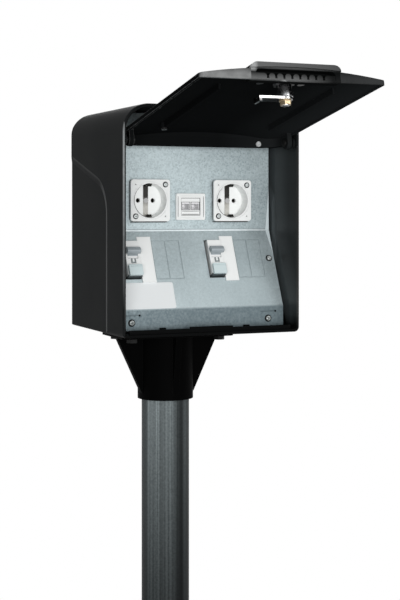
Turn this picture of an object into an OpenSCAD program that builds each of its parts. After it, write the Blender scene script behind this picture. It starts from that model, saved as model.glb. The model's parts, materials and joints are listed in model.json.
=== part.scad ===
// Garden socket post: a planted steel tube that carries a lidded box with two earthed
// sockets, a twin data outlet and two protective switches on a bent sheet panel.
// The frame has its origin on the tube's axis at the tube's lower end, +Z up, front to -Y.

/* [Post] */
// Outer diameter of the post tube
post_d = 60.3; // [54:0.1:66]
// Wall of the post tube
post_wall = 2.9; // [2:0.1:4]
// Length of the post tube
post_len = 1000; // [600:10:1500]
// Length of tube held inside the collar
post_grip = 80; // [60:1:82]

/* [Collar] */
// Wall of the collar's sleeve
sleeve_wall = 5; // [4:0.5:6]
// Thickness of the collar's top flange
flange_t = 12; // [8:0.5:16]
// Half width of the flange, across the front
flange_half_w = 74.5; // [70:0.5:85]
// Reach of the flange in front of the post axis
flange_front = 51; // [46:1:60]
// Reach of the flange behind the post axis
flange_back = 36; // [34:1:38]
// Corner radius of the flange
flange_r = 9; // [4:1:12]
// Thickness of the collar's wings and ribs
wing_t = 8; // [5:0.5:10]
// Side wings before the post axis
wing_shift = 5; // [0:0.5:8]
// Bare sleeve below the wings
wing_lift = 8; // [4:1:20]
// Diameter of the bolts between collar and box
bolt_d = 8; // [6:1:8]

/* [Housing] */
// Width of the box
housing_w = 225; // [215:1:240]
// Depth of the box
housing_d = 194; // [188:1:215]
// Height of the box
housing_h = 268; // [260:1:290]
// Wall of the box
wall = 3.5; // [3:0.1:4]
// Radius of the upper corners
top_r = 32; // [20:1:40]
// Radius of the lower corners
bottom_r = 6; // [5:1:12]
// Radius of the rear edges
rear_r = 5; // [5:1:14]
// Rounding of the outer front edge
rim_r = 1.4; // [0.6:0.1:2]
// Post axis before the rear of the box
post_inset = 43; // [42:1:46]
// Depth of the side recess
recess_depth = 1.8; // [1:0.1:2.2]
// Width of the bevel round the side recess
recess_bevel = 9; // [2:0.5:12]
// Front line of the side recess, behind the front edge
recess_y = 54; // [48:1:80]
// Height of the recess corner above the box floor
recess_z = 175.1; // [150:0.1:190]
// Rise of the recess's upper line, in degrees: 7 up on 24 along
recess_rise = 16.2602; // [5:0.0001:20]
// Radius of the recess corner
recess_r = 48; // [20:1:55]
// Height of the catch lip behind the front edge
catch_h = 8.2; // [7:0.1:10]
// Extra height at the middle of the catch lip
catch_step = 1.8; // [0.5:0.1:3]
// Thickness of the catch lip
catch_t = 3.5; // [2.5:0.1:4]

/* [Lid] */
// Hinge axis below the top of the box
hinge_drop = 41.5; // [38:0.5:48]
// Hinge axis behind the front edge
hinge_y = 9.5; // [9:0.5:12]
// Rise of the opened lid above level, in degrees
lid_rise = 11.5; // [0:0.5:25]
// Rim of the lid above the hinge axis
rim_offset = 8; // [7.5:0.1:9]
// Thickness of the lid's skin
lid_wall = 3; // [2:0.1:3.5]
// Height of the lid's side edge
edge_h = 4.5; // [4:0.1:6]
// Rise of the crown at mid width
crown_h = 9; // [5:0.5:12]
// Gap from lid to side wall
lid_gap = 1.8; // [1.5:0.1:4]
// Diameter of the hinge pins
pin_d = 6; // [4:0.5:7]

/* [Grip and lock] */
// Half width of the grip
grip_half_w = 53; // [48:0.5:65]
// Height of the grip above the lid's rim
grip_h = 18; // [17:0.5:22]
// Depth of the grip along the lid
grip_len = 47; // [45:0.5:60]
// Count of ribs in the finger scoop
rib_count = 7; // [5:1:8]
// Spacing of the ribs
rib_pitch = 9.2; // [8:0.1:10]
// Grip beside the middle
grip_x = 1.5; // [0:0.5:4]
// Lock axis before the lid's free end
lock_inset = 32.5; // [31:0.5:34]
// Lock axis beside the middle
lock_x = 3; // [0:0.5:6]
// Diameter of the lock barrel
barrel_d = 17; // [14:0.5:18]
// Diameter of the turning plug
plug_d = 11; // [9:0.5:12]
// Width of the cam
cam_w = 14; // [12:0.5:18]
// Thickness of the cam
cam_t = 2.8; // [2:0.1:3.5]

/* [Panel] */
// Thickness of the panel sheet
sheet = 1.5; // [1:0.1:2]
// Upright face behind the front edge
panel_y = 67; // [62:1:72]
// Height of the bend between upright face and slope
bend_z = 121.5; // [116:0.5:124]
// Lean of the slope from upright, in degrees
slope_lean = 23.5; // [18:0.5:26]
// Length of the slope
slope_len = 100.3; // [98:0.1:104]
// Gap from panel edge to side wall
panel_gap = 2.6; // [1.5:0.1:4]
// Lip screws in from the panel's edge
lip_screw_inset = 16.6; // [14:0.1:24]
// Sideways shift of both lip screws
lip_shift = -4; // [-5:0.5:0]
// Slope screws in from the panel's edge
slope_screw_inset = 7.2; // [6.6:0.1:9.6]
// Slope screws below the bend
slope_screw_s = 38; // [32:1:42]

/* [Sockets] */
// Spacing of the two sockets
socket_pitch = 107.7; // [100:0.1:112]
// Sideways shift of both sockets
socket_shift = -1.7; // [-3:0.1:1]
// Height of the socket centres above the box floor
socket_z = 157.5; // [154:0.5:164]
// Side of the square socket flange
socket_w = 50; // [48:0.5:54]
// Thickness of the socket flange
socket_t = 3.5; // [2.5:0.1:5]
// Thickness of the seal behind the flange
seal_t = 3.5; // [2:0.1:5]
// Diameter of the socket well
well_d = 41; // [39:0.5:42]
// Depth of the socket well
well_depth = 17.5; // [15:0.5:20]
// Spacing of the pin holes
pole_pitch = 19; // [17:0.5:20]
// Diameter of the pin holes
pole_d = 5.4; // [4.8:0.1:6]
// Spacing of the corner screws
socket_screw_pitch = 38; // [36:0.5:40]

/* [Data outlet] */
// Data outlet beside the middle
data_x = -2; // [-4:0.5:4]
// Height of the data outlet's centre above the box floor
data_z = 150; // [146:0.5:156]
// Width of the data outlet frame
data_w = 38; // [36:0.5:42]
// Height of the data outlet frame
data_h = 32; // [30:0.5:36]
// Width of one jack opening
jack_w = 11; // [9:0.1:11.4]
// Height of one jack opening
jack_h = 9; // [7:0.1:10]

/* [Switches] */
// Middle of each switch bay in from the panel's edge
bay_inset = 50.9; // [50.6:0.1:52.6]
// Sideways shift of both bays
bay_shift = -1.7; // [-3:0.1:1]
// Width of one switch module
module_w = 17.6; // [17:0.1:18]
// Spacing of the modules
module_pitch = 18; // [18:0.1:18.5]
// Middle of the switches below the bend
switch_s = 37.5; // [36:0.1:39]
// Height of the switch nose in the panel window
nose_h = 45; // [42:0.5:46]
// Nose in front of the panel
nose_proud = 5; // [3:0.1:7]
// Turn of the toggle from on to off, in degrees
toggle_turn = 50; // [40:1:50]
// Travel of the test key
key_travel = 1.5; // [1:0.1:2]

/* [Hidden] */
$fn = 64;
// Clearances
fit = 0.1;
clear = 0.3;
run = 0.05;
eps = 1;

// Derived heights and widths of the box
collar_h = post_grip + flange_t;
collar_z = post_len - post_grip;
head_z = collar_z + collar_h;
inner_half = housing_w / 2 - wall;
post_setback = housing_d - post_inset;
hinge_z = housing_h - hinge_drop;
sleeve_r = post_d / 2 + fit + sleeve_wall;

// Derived sizes of the lid, measured from the hinge axis
lid_half = inner_half - lid_gap;
lid_floor_gap = 2;
lid_reach = hinge_z - wall - lid_floor_gap;
roll_gap = 2;
roll_r = housing_h - wall - hinge_z - roll_gap;
lid_rear = roll_r - 3;
lid_rear_corner = 28;
lid_front_corner = 4;
flange_low = 1.5;
crown_r = (lid_half * lid_half + crown_h * crown_h) / (2 * crown_h);
crown_top = rim_offset + edge_h + crown_h;
ear_in = lid_half - 9;
ear_t = 5.5;
ear_r = 7.5;
boss_r = rim_offset - 2;
boss_face = lid_half - 1;
pin_seat = wall - 1;

// Derived places of catch lip, lock and cam when the lid is shut
catch_gap = 3;
catch_y = hinge_y - rim_offset + catch_gap;
catch_cam_gap = 2.1;
catch_mid_half = 27;
lock_t = lid_reach - lock_inset;
barrel_drop = catch_gap + catch_t + catch_cam_gap;
cam_floor_gap = 1.5;
cam_len = hinge_z - lock_t - wall - cam_floor_gap;
barrel_low = rim_offset - barrel_drop;
cam_top = barrel_low - clear;
cam_low = cam_top - cam_t;
cam_tip_h = 3;
cam_nut_h = 5;
spigot_r = 4;
head_t = 2;

// Derived sizes of the grip
scoop_wall = 7;
scoop_floor = 1.5;
scoop_roof = 6.5;
scoop_depth = 10;
notch_depth = scoop_depth + 2.5;
hood_lead = 2.5;
rib_w = 6.8;
rib_h = 7.2;
end_rib_w = 15;
end_rib_x = 41;
grip_screw_x = 24;

// Derived lines of the panel
panel_half = inner_half - recess_depth - panel_gap;
lip_screw_x = panel_half - lip_screw_inset;
slope_screw_x = panel_half - slope_screw_inset;
bay_pitch = 2 * (panel_half - bay_inset);
panel_top = housing_h - wall - 2.5;
lip_y = panel_y - slope_len * sin(slope_lean);
lip_z = bend_z - slope_len * cos(slope_lean);
lip_low = wall + 2.2;
lip_screw_z = (lip_z + lip_low) / 2 - 2.5;
lip_slot_z = lip_z - 6;
panel_screw_r = 2;

// Derived stack of the sockets, front to rear
socket_face = panel_y - seal_t - socket_t;
well_wall = 1.8;
well_floor = socket_face + well_depth;
well_floor_t = 3;
carrier_len = 20;
contact_r = 3.6;
contact_inset = 3;
groove_r = well_d / 2 + 1.7;
groove_w = 0.6;
strap_w = 6;
strap_t = 1;

// Derived places of the data outlet
data_frame_t = 3.5;
insert_w = 25;
insert_h = 21;
insert_len = 18;
insert_proud = 2.5;
jack_rise = 1;
jack_wall = 0.8;

// Derived sizes of the switches
window_gap = 1.8;
window_left = 2;
body_depth = 45;
body_half_len = 42;
shoulder = 9;
toggle_y = 4.4;
toggle_z = 0.5;
toggle_r = 4.2;
toggle_half = 6.2;
handle_half = 8.4;
trunnion_r = 1.5;
key_y = -15;
key_h = 12.4;
key_proud = 9.9;
key_half = 6.4;
rail_w = 35;
rail_hat = 25;
rail_depth = 7.5;
rail_t = 1.2;
bracket_t = 2;
rail_half = slope_screw_x - 5.4;

// Frames of the box, of the opened lid and of the panel's slope.
// In the box, Y counts from the front edge and Z from the box floor's underside.
module in_box() translate([0, -post_setback, head_z]) children();
// On the lid, -Y runs to the free end and Z stands square on its outer side.
module on_lid() in_box() translate([0, hinge_y, hinge_z]) rotate([-lid_rise, 0, 0]) children();
// On the slope, -Y runs down the sheet and Z stands square on its front side.
module on_slope() in_box() translate([0, panel_y, bend_z]) rotate([90 - slope_lean, 0, 0]) children();

// Carries a flat outline along one axis, from the first place to the second.
module along_x(x0, x1) translate([x0, 0, 0]) rotate([90, 0, 90]) linear_extrude(x1 - x0) children();
module along_y(y0, y1) translate([0, y1, 0]) rotate([90, 0, 0]) linear_extrude(y1 - y0) children();
module along_z(z0, z1) translate([0, 0, z0]) linear_extrude(z1 - z0) children();

// Cylinders along X and Y that start at the given place.
module rod_x(r, x0, x1) translate([x0, 0, 0]) rotate([0, 90, 0]) cylinder(r = r, h = x1 - x0);
module rod_y(r, y0, y1) translate([0, y1, 0]) rotate([90, 0, 0]) cylinder(r = r, h = y1 - y0);
module rod_z(r, z0, z1) translate([0, 0, z0]) cylinder(r = r, h = z1 - z0);

// Both mirror images of a piece.
module both_sides() {
    children();
    mirror([1, 0, 0]) children();
}

// Rectangle with its lower edge on y0, and with two corner radii.
module plate_outline(half, y0, y1, r_top, r_low) {
    translate([-half, y0 + r_low]) square([2 * half, y1 - y0 - r_low - r_top]);
    translate([-half + r_top, y1 - r_top]) square([2 * (half - r_top), r_top]);
    translate([-half + r_low, y0]) square([2 * (half - r_low), r_low]);
    for (side = [-1, 1]) {
        translate([side * (half - r_top), y1 - r_top]) circle(r_top);
        translate([side * (half - r_low), y0 + r_low]) circle(r_low);
    }
}

// Pan-head screw along -Y: the head stands in front of y0 and the shank runs behind it.
module pan_screw_y(head_r, head_h, shank_r, shank_len) {
    difference() {
        rod_y(head_r, -head_h, 0);
        rod_y(head_r * 0.45, -head_h - eps, -head_h * 0.5, $fn = 6);
    }
    rod_y(shank_r, 0, shank_len);
}

// Hexagon across its flats, standing along Z.
module hex(flats, z0, z1) translate([0, 0, z0]) cylinder(d = flats / cos(30), h = z1 - z0, $fn = 6);

// Post and collar

module post_tube() color("dimgray") difference() {
    rod_z(post_d / 2, 0, post_len);
    rod_z(post_d / 2 - post_wall, -eps, post_len + eps);
}

bolt_x = flange_half_w - 16;
bolt_front = flange_front - 14.5;
bolt_back = flange_back - 14.5;
module at_bolts() for (x = [-bolt_x, bolt_x], y = [-bolt_front, bolt_back])
    translate([x, y, 0]) children();

set_screw_z = collar_z + 28;
set_screw_d = 8;
module at_set_screws() for (turn = [40, 140])
    translate([0, 0, set_screw_z]) rotate([0, 0, turn]) children();

// Wing of the collar: a plate that widens from the sleeve to the flange's edge.
module wing(reach) rotate([90, 0, 0]) translate([0, 0, -wing_t / 2]) linear_extrude(wing_t)
    polygon([[0, wing_lift], [sleeve_r, wing_lift], [reach, collar_h - flange_t], [reach, collar_h],
        [0, collar_h]]);

module post_collar() color([0.07, 0.07, 0.08]) difference() {
    union() {
        rod_z(sleeve_r, collar_z, head_z);
        translate([0, (flange_back - flange_front) / 2, 0]) along_z(head_z - flange_t, head_z)
            plate_outline(flange_half_w, -(flange_front + flange_back) / 2, (flange_front + flange_back) / 2,
                flange_r, flange_r);
        translate([0, 0, collar_z]) {
            translate([0, -wing_shift, 0]) both_sides() wing(flange_half_w - 5.5);
            rotate([0, 0, -90]) wing(flange_front - 4);
        }
    }
    rod_z(post_d / 2 + fit, collar_z - eps, post_len);
    rod_z(post_d / 2 - post_wall - 2, post_len - eps, head_z + eps);
    at_bolts() rod_z(bolt_d / 2 + fit, head_z - flange_t - eps, head_z + eps);
    at_set_screws() rod_x(set_screw_d / 2, 0, sleeve_r + eps);
}

module collar_set_screws() color("gray") at_set_screws() difference() {
    rod_x(set_screw_d / 2, post_d / 2, sleeve_r - 0.5);
    rod_x(2.3, sleeve_r - 3.5, sleeve_r + eps, $fn = 6);
}

bolt_head_h = 5.3;
washer_t = 1.6;
nut_h = 6.5;
module collar_bolts() color("gray") at_bolts() {
    hex(bolt_d * 1.6, head_z - flange_t - bolt_head_h, head_z - flange_t);
    rod_z(bolt_d / 2, head_z - flange_t, head_z + wall + washer_t + nut_h + 2);
}

module collar_washers() color("silver") at_bolts() difference() {
    rod_z(bolt_d, head_z + wall, head_z + wall + washer_t);
    rod_z(bolt_d / 2 + fit, head_z, head_z + 3 * wall);
}

module collar_nuts() color("silver") at_bolts() difference() {
    hex(bolt_d * 1.6, head_z + wall + washer_t, head_z + wall + washer_t + nut_h);
    rod_z(bolt_d / 2 + 0.02, head_z, head_z + 30);
}

grommet_r = 20;
grommet_bore = 15;
grommet_lip = 2.5;
module cable_grommet() color([0.1, 0.1, 0.1]) difference() {
    union() {
        rod_z(grommet_r + grommet_lip, head_z - grommet_lip, head_z - fit);
        rod_z(grommet_r - fit, head_z - grommet_lip, head_z + wall + grommet_lip);
        rod_z(grommet_r + grommet_lip, head_z + wall + fit, head_z + wall + grommet_lip);
    }
    rod_z(grommet_bore, head_z - 2 * grommet_lip, head_z + wall + 2 * grommet_lip);
}

// Housing

module at_lip_screws() for (side = [-1, 1]) translate([side * lip_screw_x + lip_shift, 0, 0]) children();

// Outer form of the box, drawn in by an inset on every side but the front.
module box_form(inset) intersection() {
    along_y(-inset, housing_d - inset)
        plate_outline(housing_w / 2 - inset, inset, housing_h - inset, top_r - inset, bottom_r - inset);
    along_z(0, housing_h)
        plate_outline(housing_w / 2 - inset, -rear_r, housing_d - inset, rear_r - inset, 0.5);
    along_x(-housing_w, housing_w) {
        translate([-1, 0]) square([housing_d - inset - rear_r + inset + 1, housing_h]);
        translate([-1, 0]) square([housing_d - inset + 1, housing_h - rear_r]);
        translate([housing_d - rear_r, housing_h - rear_r]) circle(rear_r - inset);
    }
}

// Outline of the side recess in Y and Z, drawn in by an inset: an upright front line, an arc
// and a line that rises to the rear.
recess_c = [recess_y + recess_r, recess_z + recess_r * tan(recess_rise) - recess_r / cos(recess_rise)];
recess_dir = [cos(recess_rise), sin(recess_rise)];
recess_up = [-sin(recess_rise), cos(recess_rise)];
recess_run = housing_d;
module recess_outline(inset) {
    start = recess_c + (recess_r - inset) * recess_up;
    end = start + recess_run * recess_dir;
    polygon([start, end, [end[0], -eps], [recess_y + inset, -eps], [recess_y + inset, recess_c[1]]]);
    translate(recess_c) circle(recess_r - inset);
}

// Side recess with a bevelled edge, cut to its depth along Z.
module recess_form() {
    bevel_out = recess_bevel * (1 + eps / recess_depth);
    edge = [[-eps, recess_depth], [0, recess_depth], [bevel_out, -eps], [-eps, -eps]];
    translate([0, 0, -eps]) linear_extrude(recess_depth + eps) recess_outline(recess_bevel);
    translate([recess_y + recess_bevel, recess_c[1], 0]) rotate([90, 0, 0])
        linear_extrude(recess_c[1] + eps) mirror([1, 0]) polygon(edge);
    translate([recess_c[0], recess_c[1], 0]) rotate([0, 0, 90 + recess_rise])
        rotate_extrude(angle = 90 - recess_rise)
            translate([recess_r - recess_bevel, 0]) polygon(edge);
    translate([recess_c[0], recess_c[1], 0]) rotate([0, 0, recess_rise])
        translate([0, recess_r - recess_bevel, 0]) rotate([90, 0, 90])
            linear_extrude(recess_run) polygon(edge);
}

module recess_pair(half) both_sides() translate([-half, 0, 0]) rotate([90, 0, 90]) recess_form();

// What a quarter round takes off an outer front edge: X counts outwards and Y to the rear.
module round_over(r) difference() {
    translate([-r, -eps]) square([r + eps, r + eps]);
    translate([-r, r]) circle(r);
}

module front_rounding() {
    half = housing_w / 2;
    both_sides() translate([half, 0, bottom_r]) linear_extrude(housing_h - bottom_r - top_r) round_over(rim_r);
    translate([half - top_r, 0, housing_h]) rotate([0, -90, 0])
        linear_extrude(housing_w - 2 * top_r) round_over(rim_r);
    translate([-half + bottom_r, 0, 0]) rotate([0, 90, 0])
        linear_extrude(housing_w - 2 * bottom_r) round_over(rim_r);
    for (corner = [[1, top_r, housing_h - top_r, -90], [-1, top_r, housing_h - top_r, -180],
            [1, bottom_r, bottom_r, 0], [-1, bottom_r, bottom_r, 90]])
        translate([corner[0] * (half - corner[1]), 0, corner[2]]) rotate([-90, 0, 0]) rotate([0, 0, corner[3]])
            rotate_extrude(angle = 90) translate([corner[1], 0]) round_over(rim_r);
}

floor_tab_x = 54;
floor_tab_w = 7;
floor_tab_h = 5;
lip_boss_half = 7;
lip_boss_depth = 15;
ceiling_rib_half = 70;
ceiling_rib_h = 9;
module housing() color([0.06, 0.06, 0.07]) in_box() difference() {
    union() {
        difference() {
            box_form(0);
            box_form(wall);
            recess_pair(housing_w / 2);
            front_rounding();
        }
        // Step inside that keeps the wall's thickness behind the side recess
        intersection() {
            box_form(wall - 5 * fit);
            recess_pair(inner_half);
        }
        // Catch lip for the lock's cam, raised at the middle
        translate([-inner_half + bottom_r, catch_y, wall - fit])
            cube([2 * (inner_half - bottom_r), catch_t, catch_h - wall + fit]);
        translate([-catch_mid_half, catch_y, wall])
            cube([2 * catch_mid_half, catch_t, catch_h + catch_step - wall]);
        // Blocks behind the panel's lip, and a rib behind its upper edge
        at_lip_screws() translate([-lip_boss_half, lip_y + sheet, wall - fit])
            cube([2 * lip_boss_half, lip_boss_depth, lip_screw_z + lip_boss_half - wall + fit]);
        translate([-ceiling_rib_half, panel_y + sheet, housing_h - wall - ceiling_rib_h])
            cube([2 * ceiling_rib_half, wall, ceiling_rib_h + fit]);
        // Tabs on the floor that keep the panel's lip from swinging forward
        both_sides() translate([floor_tab_x - floor_tab_w / 2, lip_y - 4, wall - fit])
            cube([floor_tab_w, 3.5, floor_tab_h + fit]);
        // Bosses that hold the hinge pins
        both_sides() translate([0, hinge_y, hinge_z]) rod_x(boss_r, boss_face, inner_half + fit);
    }
    both_sides() translate([0, hinge_y, hinge_z]) rod_x(pin_d / 2, boss_face - eps, inner_half + pin_seat);
    at_lip_screws() translate([0, 0, lip_screw_z])
        rod_y(panel_screw_r, lip_y, lip_y + sheet + lip_boss_depth - 2);
    translate([0, post_setback, 0]) rod_z(grommet_r, -eps, wall + eps);
    translate([0, post_setback, -head_z]) at_bolts() rod_z(bolt_d / 2 + fit, head_z - eps, head_z + wall + eps);
}

module hinge_pin(side) color("silver") in_box() translate([0, hinge_y, hinge_z])
    mirror([side < 0 ? 1 : 0, 0, 0])
    union() {
        rod_x(pin_d / 2, ear_in - 1, inner_half + pin_seat);
        rod_x(pin_d / 2 + 1.5, ear_in - 2.5, ear_in - clear);
    }

// Lid

// Solid under the crown, drawn in by an inset, from a lower height upwards.
module crown_form(inset, low) intersection() {
    along_y(-lid_reach - eps, roll_r + eps) intersection() {
        translate([0, crown_top - crown_r]) circle(crown_r - inset, $fn = 360);
        translate([-lid_half - eps, low]) square([2 * (lid_half + eps), crown_top]);
    }
    along_z(low - eps, crown_top + eps) plan_outline(inset);
    along_x(-lid_half - eps, lid_half + eps) {
        translate([-lid_reach - eps, low - eps]) square([lid_reach + eps, crown_top]);
        circle(roll_r - inset);
    }
}

module plan_outline(inset) translate([0, -lid_reach])
    plate_outline(lid_half - inset, inset, lid_reach + lid_rear - inset, lid_rear_corner - inset, lid_front_corner);

// Rolled rear edge: the rim of the plan, behind the hinge, let down towards the inside.
module rear_flange() along_z(flange_low, rim_offset + edge_h / 2) difference() {
    intersection() {
        plan_outline(0);
        translate([-lid_half, ear_r + 4]) square([2 * lid_half, lid_rear]);
    }
    plan_outline(lid_wall);
}

module hinge_ear() along_x(ear_in, ear_in + ear_t) {
    circle(ear_r);
    translate([-ear_r, 0]) square([2 * ear_r, rim_offset + edge_h * 0.7]);
}

notch_half = grip_half_w - 1.5;
lid_rib_inset = 40.2;
lid_rib_x = lid_half - lid_rib_inset;
lid_rib_t = 2.2;
lid_rib_start = 23;
lid_rib_end = 180;
lid_boss_r = 4;
lid_boss_low = rim_offset + 0.5;
lid_screw_r = 1.5;
lid_screw_len = 4;
lid_flange_inset = 30.2;
lid_flange_x = lid_half - lid_flange_inset;
lid_flange_n = 5.5;
module lid() color([0.06, 0.06, 0.07]) on_lid() difference() {
    union() {
        difference() {
            crown_form(0, rim_offset);
            crown_form(lid_wall, rim_offset - 2 * eps);
        }
        intersection() {
            rear_flange();
            rotate([0, 90, 0]) cylinder(r = roll_r, h = 4 * lid_half, center = true);
        }
        both_sides() hinge_ear();
        // Two ribs under the skin, and the boss of a screw
        intersection() {
            crown_form(lid_wall - 5 * fit, rim_offset);
            union() {
                both_sides() translate([lid_rib_x - lid_rib_t / 2, -lid_rib_end, rim_offset + 0.5])
                    cube([lid_rib_t, lid_rib_end - lid_rib_start, crown_top]);
                translate([-lid_rib_x, -lid_rib_start, 0]) rod_z(lid_boss_r, lid_boss_low, 2 * crown_top);
            }
        }
    }
    translate([-lid_rib_x, -lid_rib_start, 0]) rod_z(lid_screw_r, 0, lid_boss_low + lid_screw_len + 1);
    translate([lid_flange_x, 0, lid_flange_n]) rod_y(lid_screw_r, lid_rear - lid_wall - 1, lid_rear + 1);
    both_sides() rod_x(pin_d / 2 + run, ear_in - eps, ear_in + ear_t + eps);
    translate([grip_x - notch_half, -lid_reach - eps, 0])
        cube([2 * notch_half, notch_depth + eps, 2 * crown_top]);
    translate([lock_x, -lock_t, 0]) rod_z(barrel_d / 2 + fit, 0, 2 * crown_top);
    at_grip_screws() rod_z(2 + fit, 0, 2 * crown_top);
}

// Small screws on the lid's inner side: one in the rib's boss and one in the rear flange
module lid_screws() color("lightgray") on_lid() {
    translate([-lid_rib_x, -lid_rib_start, lid_boss_low]) rotate([-90, 0, 0])
        mirror([0, 1, 0]) pan_screw_y(3.2, 2, lid_screw_r - 0.1, lid_screw_len);
    translate([lid_flange_x, lid_rear - lid_wall, lid_flange_n])
        pan_screw_y(3.2, 2, lid_screw_r - 0.1, lid_wall - 0.4);
}

// Grip and lock

module at_grip_screws() for (x = [-grip_screw_x, grip_screw_x]) translate([grip_x + x, -lock_t + 4, 0])
    children();

grip_top = rim_offset + grip_h;
scoop_half = grip_half_w - scoop_wall;
scoop_high = grip_top - scoop_roof;
module grip_body() intersection() {
    along_y(-lid_reach - hood_lead, -lid_reach + grip_len) translate([grip_x, 0])
        plate_outline(grip_half_w, rim_offset, grip_top, 9, 1);
    along_z(0, 2 * grip_top) translate([grip_x, -lid_reach])
        plate_outline(grip_half_w, -hood_lead, grip_len, 12, 3);
}

// Tooth on the floor of the finger scoop, with a round top
module grip_rib(w) along_y(-lid_reach + 0.6, -lid_reach + scoop_depth + fit)
    translate([0, rim_offset]) plate_outline(w / 2, 0.2, rib_h, rib_w / 2 - 0.1, 0.1);

module lid_grip() color([0.08, 0.08, 0.09]) on_lid() {
    difference() {
        grip_body();
        // Seat on the crown, and room for the lid behind the notch
        difference() {
            along_y(-lid_reach - 2 * hood_lead, -lid_reach + 2 * grip_len) intersection() {
                translate([0, crown_top - crown_r]) circle(crown_r + clear, $fn = 360);
                translate([-lid_half, 0]) square([2 * lid_half, crown_top + eps]);
            }
            translate([grip_x - notch_half + fit, -lid_reach, 0])
                cube([2 * (notch_half - fit), notch_depth - fit, grip_top]);
        }
        // Finger scoop, open at the free end
        along_y(-lid_reach - 2 * hood_lead, -lid_reach + scoop_depth) translate([grip_x, 0])
            plate_outline(scoop_half, rim_offset + scoop_floor, scoop_high, 5, 1);
        // Under the hood's overhang
        translate([grip_x - grip_half_w - eps, -lid_reach - 2 * hood_lead, 0])
            cube([2 * (grip_half_w + eps), 2 * hood_lead, scoop_high]);
        translate([lock_x, -lock_t, 0]) rod_z(barrel_d / 2 + fit, 0, 2 * grip_top);
        at_grip_screws() rod_z(1.6, 0, grip_top - 2);
    }
    for (i = [0 : rib_count - 1]) translate([grip_x + (i - (rib_count - 1) / 2) * rib_pitch, 0, 0])
        grip_rib(rib_w);
    for (side = [-1, 1]) translate([grip_x + side * end_rib_x, 0, 0]) grip_rib(end_rib_w);
}

// Underside of the lid's skin at a distance from the middle
function skin_low(x) = crown_top - crown_r + sqrt(pow(crown_r - lid_wall, 2) - x * x);
module grip_screws() color("silver") on_lid() at_grip_screws() {
    rod_z(4, skin_low(grip_screw_x) - 3, skin_low(grip_screw_x + grip_x + 4));
    rod_z(1.6, skin_low(grip_screw_x) - 1, grip_top - 3);
}

module at_lock() on_lid() translate([lock_x, -lock_t, 0]) children();

module lock_barrel() color("silver") at_lock() difference() {
    union() {
        rod_z(barrel_d / 2, barrel_low, grip_top);
        rod_z(barrel_d / 2 + 2.5, grip_top, grip_top + head_t);
    }
    rod_z(plug_d / 2 + run, barrel_low - eps, grip_top + head_t + eps);
}

lock_nut_h = 5;
module lock_nut() color("gray") at_lock() difference() {
    hex(22, skin_low(lock_x + 14) - lock_nut_h, skin_low(lock_x + 14));
    rod_z(barrel_d / 2 + 0.02, 0, 2 * crown_top);
}

module lock_plug() color("silver") at_lock() difference() {
    union() {
        rod_z(plug_d / 2, barrel_low, grip_top + head_t - 0.5);
        rod_z(spigot_r, cam_low - cam_nut_h - 1, barrel_low);
    }
    translate([-0.8, -4, grip_top - 2]) cube([1.6, 8, 2 * head_t + 2]);
}

module lock_cam() color("lightgray") at_lock() difference() {
    union() {
        along_z(cam_low, cam_top) {
            circle(cam_w / 2 + 1);
            translate([-cam_len, -cam_w / 2]) square([cam_len, cam_w]);
        }
        along_y(-cam_w / 2, cam_w / 2)
            translate([-cam_len, cam_low - cam_tip_h]) square([cam_t, cam_tip_h + fit]);
    }
    rod_z(spigot_r, cam_low - 2 * cam_tip_h, cam_top + eps);
}

module cam_nut() color("gold") at_lock() difference() {
    union() {
        rod_z(6.5, cam_low - 1.2, cam_low);
        hex(11, cam_low - cam_nut_h, cam_low - 1.2);
    }
    rod_z(spigot_r, cam_low - 2 * cam_nut_h, cam_low + eps);
}

// Front panel

bay_half = 2 * module_pitch;
window_half_h = nose_h / 2 + window_gap;
module at_bays() for (side = [-1, 1]) translate([side * bay_pitch / 2 + bay_shift, 0, 0]) children();

score_w = 0.7;
score_depth = 0.5;
// Scored outlines of the spare modules that can be broken out of a bay
module spare_scores() {
    for (x = [0.5, module_pitch, bay_half]) translate([x - score_w / 2, -switch_s - window_half_h, -score_depth])
        cube([score_w, 2 * window_half_h, score_depth + eps]);
    for (y = [-window_half_h, window_half_h]) translate([0.5, -switch_s + y - score_w / 2, -score_depth])
        cube([bay_half - 0.5, score_w, score_depth + eps]);
}

// Section of the bent sheet in Y and Z
module sheet_section() {
    rear = sheet / cos(slope_lean / 2) * [cos(slope_lean / 2), -sin(slope_lean / 2)];
    upper = [panel_y, bend_z];
    lower = [lip_y, lip_z];
    polygon([upper, [panel_y, panel_top], [panel_y + sheet, panel_top], upper + rear, lower + rear,
        [lip_y + sheet, lip_low], [lip_y, lip_low], lower]);
}

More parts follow.
